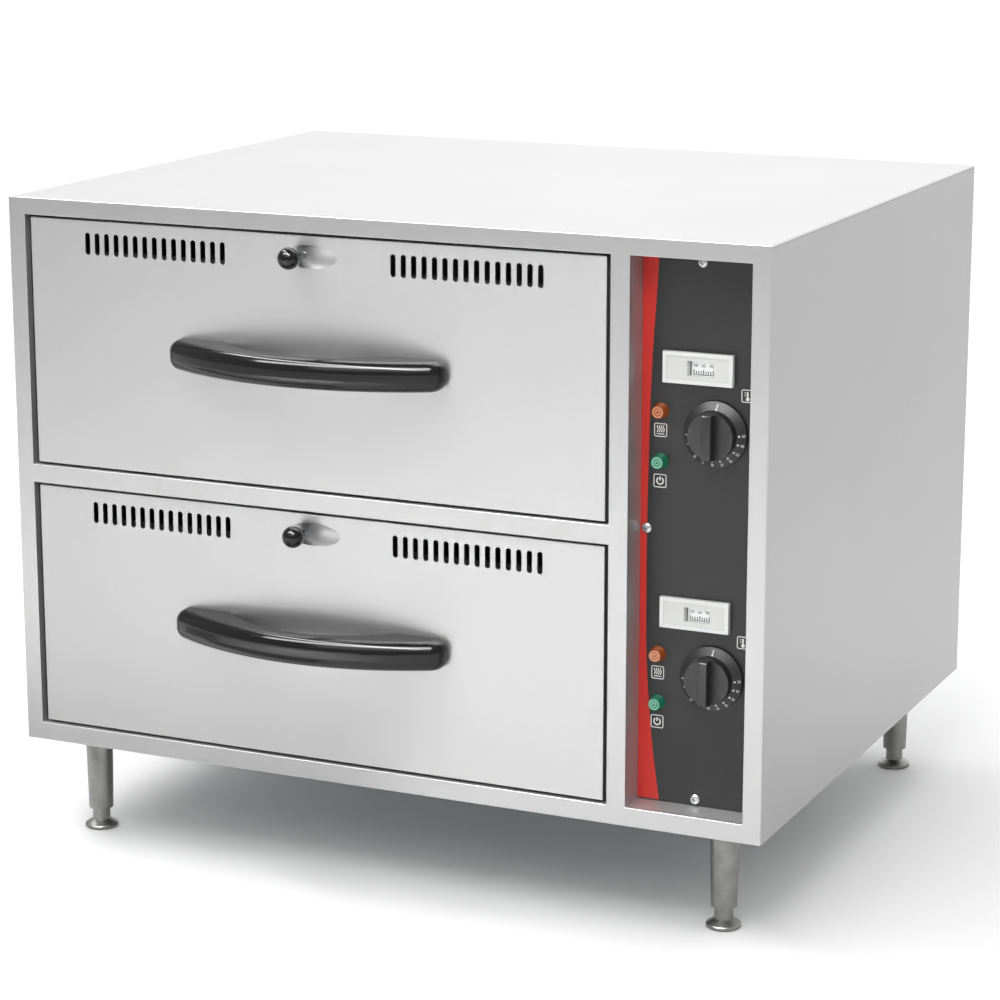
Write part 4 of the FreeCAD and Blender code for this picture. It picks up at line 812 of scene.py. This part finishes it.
def number(digits, height):
    """A printed number, centred on its spot. A digit is 0.7 as high as the size of its font."""
    letters = bpy.data.curves.new("number", "FONT")
    letters.body = digits
    letters.size = height / 0.7
    letters.align_x = "CENTER"
    letters.align_y = "CENTER"
    written = bpy.data.objects.new("number", letters)
    flat = bpy.data.meshes.new_from_object(written)
    shape = bmesh.new()
    shape.from_mesh(flat)
    bmesh.ops.remove_doubles(shape, verts=shape.verts[:], dist=1e-7)
    bpy.data.objects.remove(written)
    bpy.data.curves.remove(letters)
    bpy.data.meshes.remove(flat)
    return shape


scale_sheet = bmesh.new()
card_sheet = bmesh.new()
for gauge in ("upper_thermometer", "lower_thermometer"):
    low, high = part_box(gauge)
    middle = (low + high) / 2
    window = (middle.x + window_shift, low.y + card_depth, middle.z)
    card_spot = Matrix.Translation(window) @ facing_front
    lay_down(card_sheet, bar(card_width, card_height, 0, 0), card_spot)
    scale = card_spot @ Matrix.Translation((0, 0, ink_height))
    lay_down(scale_sheet, bar(19 * mm, 0.6 * mm, 1.6 * mm, base_level), scale)
    for step in range(9):
        tall = long_tick if step % 4 == 0 else short_tick
        across = first_tick + tick_pitch * step
        lay_down(scale_sheet, bar(tick_width, tall, across, base_level + tall / 2), scale)
    for across, digits in ((-5.8 * mm, "30"), (1.4 * mm, "60"), (8.6 * mm, "90")):
        number_spot = scale @ Matrix.Translation((across, number_level, 0))
        lay_down(scale_sheet, number(digits, 2.8 * mm), number_spot)
piece("thermometer_cards", card_sheet, card_white, "cabinet")
piece("thermometer_scales", scale_sheet, black_ink, "cabinet")

# The pointers are thin strips of sheet with a coat of black enamel.
pointer_enamel = moulded(
    "black_enamel", "#1c1c1c", "#262626", rough=0.3, grain=1 * mm, deep=0.05, IOR=1.5
)
dress(pointer_enamel, "upper_thermometer_pointer", "lower_thermometer_pointer")

# The windows are clear polycarbonate sheets of 1 mm, glossy and nearly unseen.
dust_size = 4 * mm
clear = blank("clear_polycarbonate")
place = add(clear, "TexCoord").outputs["Object"]
dust = add(clear, "TexNoise", {"Scale": 1 / dust_size, "Detail": 4}, {"Vector": place})
haze = add(clear, "MapRange", {"To Min": 0.04, "To Max": 0.12}, {"Value": dust.outputs["Fac"]})
shader = add(
    clear,
    "BsdfPrincipled",
    {"Base Color": linear("#eef2f1"), "IOR": 1.585, "Alpha": 0.06},
    {"Roughness": haze.outputs[0]},
)
add(clear, "OutputMaterial", links={"Surface": shader.outputs[0]})
dress(clear, "thermometer_windows")


# Signal lamps: lenses moulded in clear coloured polycarbonate, snapped through the film.
# Light gets into the body and comes back brighter from the frosted rings on the lens face.
lens_finish = {"rough": 0.12, "grain": 3 * mm, "deep": 0.03, "IOR": 1.585, "Coat_Weight": 0.5}
frosting = {"rough": 0.3, "grain": 1 * mm, "deep": 0.1, "IOR": 1.585}
amber = moulded("amber_polycarbonate", "#8f4310", "#a95618", **lens_finish)
green = moulded("green_polycarbonate", "#0c6a4c", "#15805f", **lens_finish)
amber_rim = moulded("frosted_amber", "#d98a4e", "#e6a06a", **frosting)
green_rim = moulded("frosted_green", "#5cc39a", "#86d6b4", **frosting)
dress(amber, "amber_lamps")
dress(green, "green_lamps")
amber_rise, green_rise = 16 * mm, -28.5 * mm


def lens_rings(name, lamps, rise, material):
    """Two raised rings moulded on each lens face, at a rise above the axis of its dial."""
    rings = bmesh.new()
    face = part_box(lamps)[0].y
    for dial_level in dial_levels.values():
        spot = Matrix.Translation((lamp_column, face, dial_level + rise)) @ facing_front
        for radius, width in ((4.2 * mm, 0.7 * mm), (1.9 * mm, 0.5 * mm)):
            ring = bmesh.new()
            bmesh.ops.create_circle(ring, segments=8, radius=width / 2)
            upright = Matrix.Translation((radius, 0, 0)) @ Matrix.Rotation(math.radians(90), 4, "X")
            bmesh.ops.transform(ring, matrix=upright, verts=ring.verts[:])
            turn_whole(ring, 40)
            bmesh.ops.transform(ring, matrix=spot, verts=ring.verts[:])
            join(rings, ring)
    made = piece(name, rings, material, "cabinet")
    made.data.shade_smooth()
    return made


lens_rings("amber_lens_rings", "amber_lamps", amber_rise, amber_rim)
lens_rings("green_lens_rings", "green_lamps", green_rise, green_rim)


# Thermostats, shafts and terminal block: pressed and plated cases behind the control plate,
# and a block moulded in pale polyamide. They are seen only with the covers off.
dress(strip, "upper_thermostat", "lower_thermostat")
dress(strip, "upper_thermostat_shaft", "lower_thermostat_shaft")
pale_nylon = moulded(
    "moulded_pale_nylon", "#c9c6bb", "#d6d3c8", rough=0.42, grain=0.5 * mm, deep=0.15, IOR=1.53
)
dress(pale_nylon, "terminal_block")


# Thermostat knobs: black phenolic mouldings pushed on the shafts, a round grip with a bar
# across it on a conical skirt. The tool is polished less on the skirt, which shines grey.
knob_black = moulded(
    "moulded_black_knob", "#191919", "#222222", rough=0.34, grain=0.5 * mm, deep=0.15, IOR=1.55
)

# The front of the bar is polished and the hollows beside it keep the grain of the tool.
# The bar front is also painted darker than the hollows: a painted shade.
bar_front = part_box("upper_thermostat_knob")[0].y
bar_edge, hollow_edge = bar_front + 0.5 * mm, bar_front + 1.5 * mm
change_gloss(knob_black, by_depth(knob_black, bar_edge, hollow_edge, -0.14, 0.04))
paint(knob_black, "#060606", by_depth(knob_black, bar_edge, hollow_edge, 1, 0))
dress(knob_black, "upper_thermostat_knob", "lower_thermostat_knob")

# The dial is printed in white on the skirt: a start mark, a dot and a number every
# 19 degrees, and two strokes at the end of the turn.
knob_column = 317 * mm
skirt_foot, skirt_top = 29 * mm, 21.8 * mm
skirt_rise, skirt_edge = 4 * mm, 2 * mm
cone_tilt = math.atan2(skirt_rise, skirt_foot - skirt_top)
start_clock, first_clock, clock_step, end_clocks = 6, 88, 19, (248, 266)


def on_skirt(axis, clock, out):
    """A spot on the cone: degrees clockwise from the top, and the share of the way out."""
    radius = skirt_top + (skirt_foot - skirt_top) * out
    lift = skirt_edge + skirt_rise * (1 - out)
    clockwise = Matrix.Rotation(math.radians(-clock), 4, "Z")
    lean = Matrix.Rotation(-cone_tilt, 4, "X")
    return axis @ clockwise @ Matrix.Translation((0, radius, lift)) @ lean


upright = Matrix.Rotation(math.radians(90), 4, "Z")
for level, dial_level in dial_levels.items():
    skirt_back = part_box(f"{level}_thermostat_knob")[1].y
    axis = Matrix.Translation((knob_column, skirt_back, dial_level)) @ facing_front
    dial_sheet = bmesh.new()
    lay_down(dial_sheet, bar(0.9 * mm, 4 * mm, 0, 0), on_skirt(axis, start_clock, 0.5))
    lay_down(dial_sheet, disc(0.9 * mm, 0, 0), on_skirt(axis, start_clock, 0.12))
    for step in range(8):
        clock = first_clock + clock_step * step
        lay_down(dial_sheet, disc(0.95 * mm, 0, 0), on_skirt(axis, clock, 0.2))
        digits = str(30 + 10 * step)
        lay_down(dial_sheet, number(digits, 2.3 * mm), on_skirt(axis, clock, 0.66) @ upright)
    for clock in end_clocks:
        lay_down(dial_sheet, bar(0.6 * mm, 3 * mm, 0, 0), on_skirt(axis, clock, 0.5))
    print_name = f"{level}_dial_print"
    piece(print_name, dial_sheet, white_ink, f"{level}_dial")


# Drawer fronts: shallow trays folded from ground stainless sheet, with two rows of punched
# vents and a pressed eye. The lines run across the front, drawn 0.8 mm apart so that they
# show, and the handle shows as a dark upright smear in them.
front_steel = ground_steel(
    "ground_stainless_front",
    "#c3c3c3",
    "#c6c6c6",
    rough=0.32,
    line=0.8 * mm,
    run=140 * mm,
    anisotropy=0.7,
    deep=0.02,
)
dress(front_steel, "upper_drawer_front", "lower_drawer_front")


# Drawer seals: a black silicone strip pressed round the tray of each front.
# Extruded silicone is matt with a dusty bloom.
silicone = moulded(
    "extruded_black_silicone", "#242424", "#2e2e2e", rough=0.55, grain=2 * mm, deep=0.05, IOR=1.43
)
dress(silicone, "upper_drawer_seal", "lower_drawer_seal")


# Damper knobs: balls of polished black phenolic screwed on the stems of the dampers.
# Polishing leaves a hard gloss with hardly any grain.
ball_black = moulded(
    "polished_black_phenolic", "#060606", "#0a0a0a", rough=0.11, grain=2 * mm, deep=0.02, IOR=1.47
)
dress(ball_black, "upper_damper_knob", "lower_damper_knob")


# Handles: black phenolic bows, moulded and buffed, each held by two screws from inside.
# The buffed skin is glossy with a slight unevenness that breaks the bright lines.
handle_black = moulded(
    "buffed_black_phenolic", "#060606", "#0a0a0a", rough=0.11, grain=6 * mm, deep=0.03, IOR=1.47
)
dress(handle_black, "upper_handle", "lower_handle")
dress(zinc, "upper_handle_screws", "lower_handle_screws")


# Food pans: deep drawn stainless pans that hang by their rims in the drawer frames.
# Drawing leaves a soft satin with faint lines, drawn coarser here so that they show.
pan_steel = ground_steel(
    "drawn_stainless_pan",
    "#b6b6b3",
    "#c6c6c3",
    rough=0.33,
    line=1.6 * mm,
    run=50 * mm,
    anisotropy=0.2,
    deep=0.1,
)
dress(pan_steel, "upper_food_pan", "lower_food_pan")


# Studio: a pale matt floor in a white room, lit by soft boxes that the camera can't see.
# A grey card lies on the floor and is seen only in reflections, where it darkens the lower
# left of the front. The camera has the photograph's view.
def stage_sheet(name, place, finish, colour, rough):
    """A flat matt sheet of the stage, made from a square of 1 m that is taken to its place."""
    shape = bmesh.new()
    bmesh.ops.create_grid(shape, x_segments=1, y_segments=1, size=0.5, matrix=place)
    mesh = bpy.data.meshes.new(name)
    shape.to_mesh(mesh)
    shape.free()
    matt = blank(finish)
    shader = add(
        matt,
        "BsdfPrincipled",
        {"Base Color": linear(colour), "Roughness": rough, "Specular IOR Level": 0},
    )
    add(matt, "OutputMaterial", links={"Surface": shader.outputs[0]})
    mesh.materials.append(matt)
    sheet = bpy.data.objects.new(name, mesh)
    bpy.context.collection.objects.link(sheet)
    return sheet


floor_place = Matrix.Diagonal((40, 40, 1, 1))
floor = stage_sheet("floor", floor_place, "pale_floor", "#f9f9f9", rough=0.7)

card_place = Matrix.Translation((-0.66, -0.55, 0.002)) @ Matrix.Diagonal((1.1, 0.3, 1, 1))
card = stage_sheet("grey_card", card_place, "grey_felt", "#b2b2b2", rough=0.9)
card.visible_camera = card.visible_diffuse = card.visible_shadow = False

room = bpy.data.worlds.new("white_room")
room.use_nodes = True
room.node_tree.nodes["Background"].inputs["Color"].default_value = (1, 1, 1, 1)
room.node_tree.nodes["Background"].inputs["Strength"].default_value = 0.52
bpy.context.scene.world = room


def soft_box(name, width, height, power, spot, aim, spread=180):
    """A soft box at a spot, turned to the point it aims at and unseen by the camera."""
    light = bpy.data.lights.new(name, "AREA")
    light.shape = "RECTANGLE"
    light.size, light.size_y = width, height
    light.energy = power
    light.spread = math.radians(spread)
    box = bpy.data.objects.new(name, light)
    box.location = spot
    box.rotation_euler = (Vector(aim) - Vector(spot)).to_track_quat("-Z", "Y").to_euler()
    box.visible_camera = False
    bpy.context.collection.objects.link(box)
    return box


# A long strip overhead draws the bright lines, and a narrow beam lights a pool of floor that
# the fronts mirror.
soft_box(
    "overhead_strip", 5.0, 0.26, power=66, spot=(-0.6, -0.85, 2.5), aim=(-0.1, -0.3, 0.3)
)
soft_box(
    "floor_pool", 0.6, 0.6, power=7.5, spot=(-0.45, -1.4, 2.6), aim=(-0.45, -1.4, 0), spread=30
)

# A wide box behind the object is mirrored in its top, and a smaller one fills in the front.
soft_box("rear_box", 18, 5.2, power=264, spot=(-3, 12, 3.5), aim=(0, 0, 0.6))
soft_box("front_box", 3.4, 1.8, power=26, spot=(0.5, -3.0, 2.7), aim=(0, -0.2, 0.4))

# A panel shows only as a shine on the pieces, and a ceiling lights the floor behind them.
shine = soft_box(
    "shine_panel", 3.2, 0.7, power=98, spot=(-0.2, -1.55, 2.45), aim=(-0.1, -0.3, 0.45)
)
shine.visible_diffuse = False
soft_box("rear_ceiling", 16, 18, power=700, spot=(0, 10, 5), aim=(0, 10, 0))

lens = bpy.data.cameras.new("photo_camera")
lens.sensor_width = 36
lens.lens = 109.72
camera = bpy.data.objects.new("photo_camera", lens)
camera.location = (1.2138, -2.6549, 0.9975)
camera.rotation_euler = (math.radians(76.731), 0, math.radians(24.634))
bpy.context.collection.objects.link(camera)
bpy.context.scene.camera = camera
bpy.context.scene.view_settings.view_transform = "Standard"

bpy.context.view_layer.update()
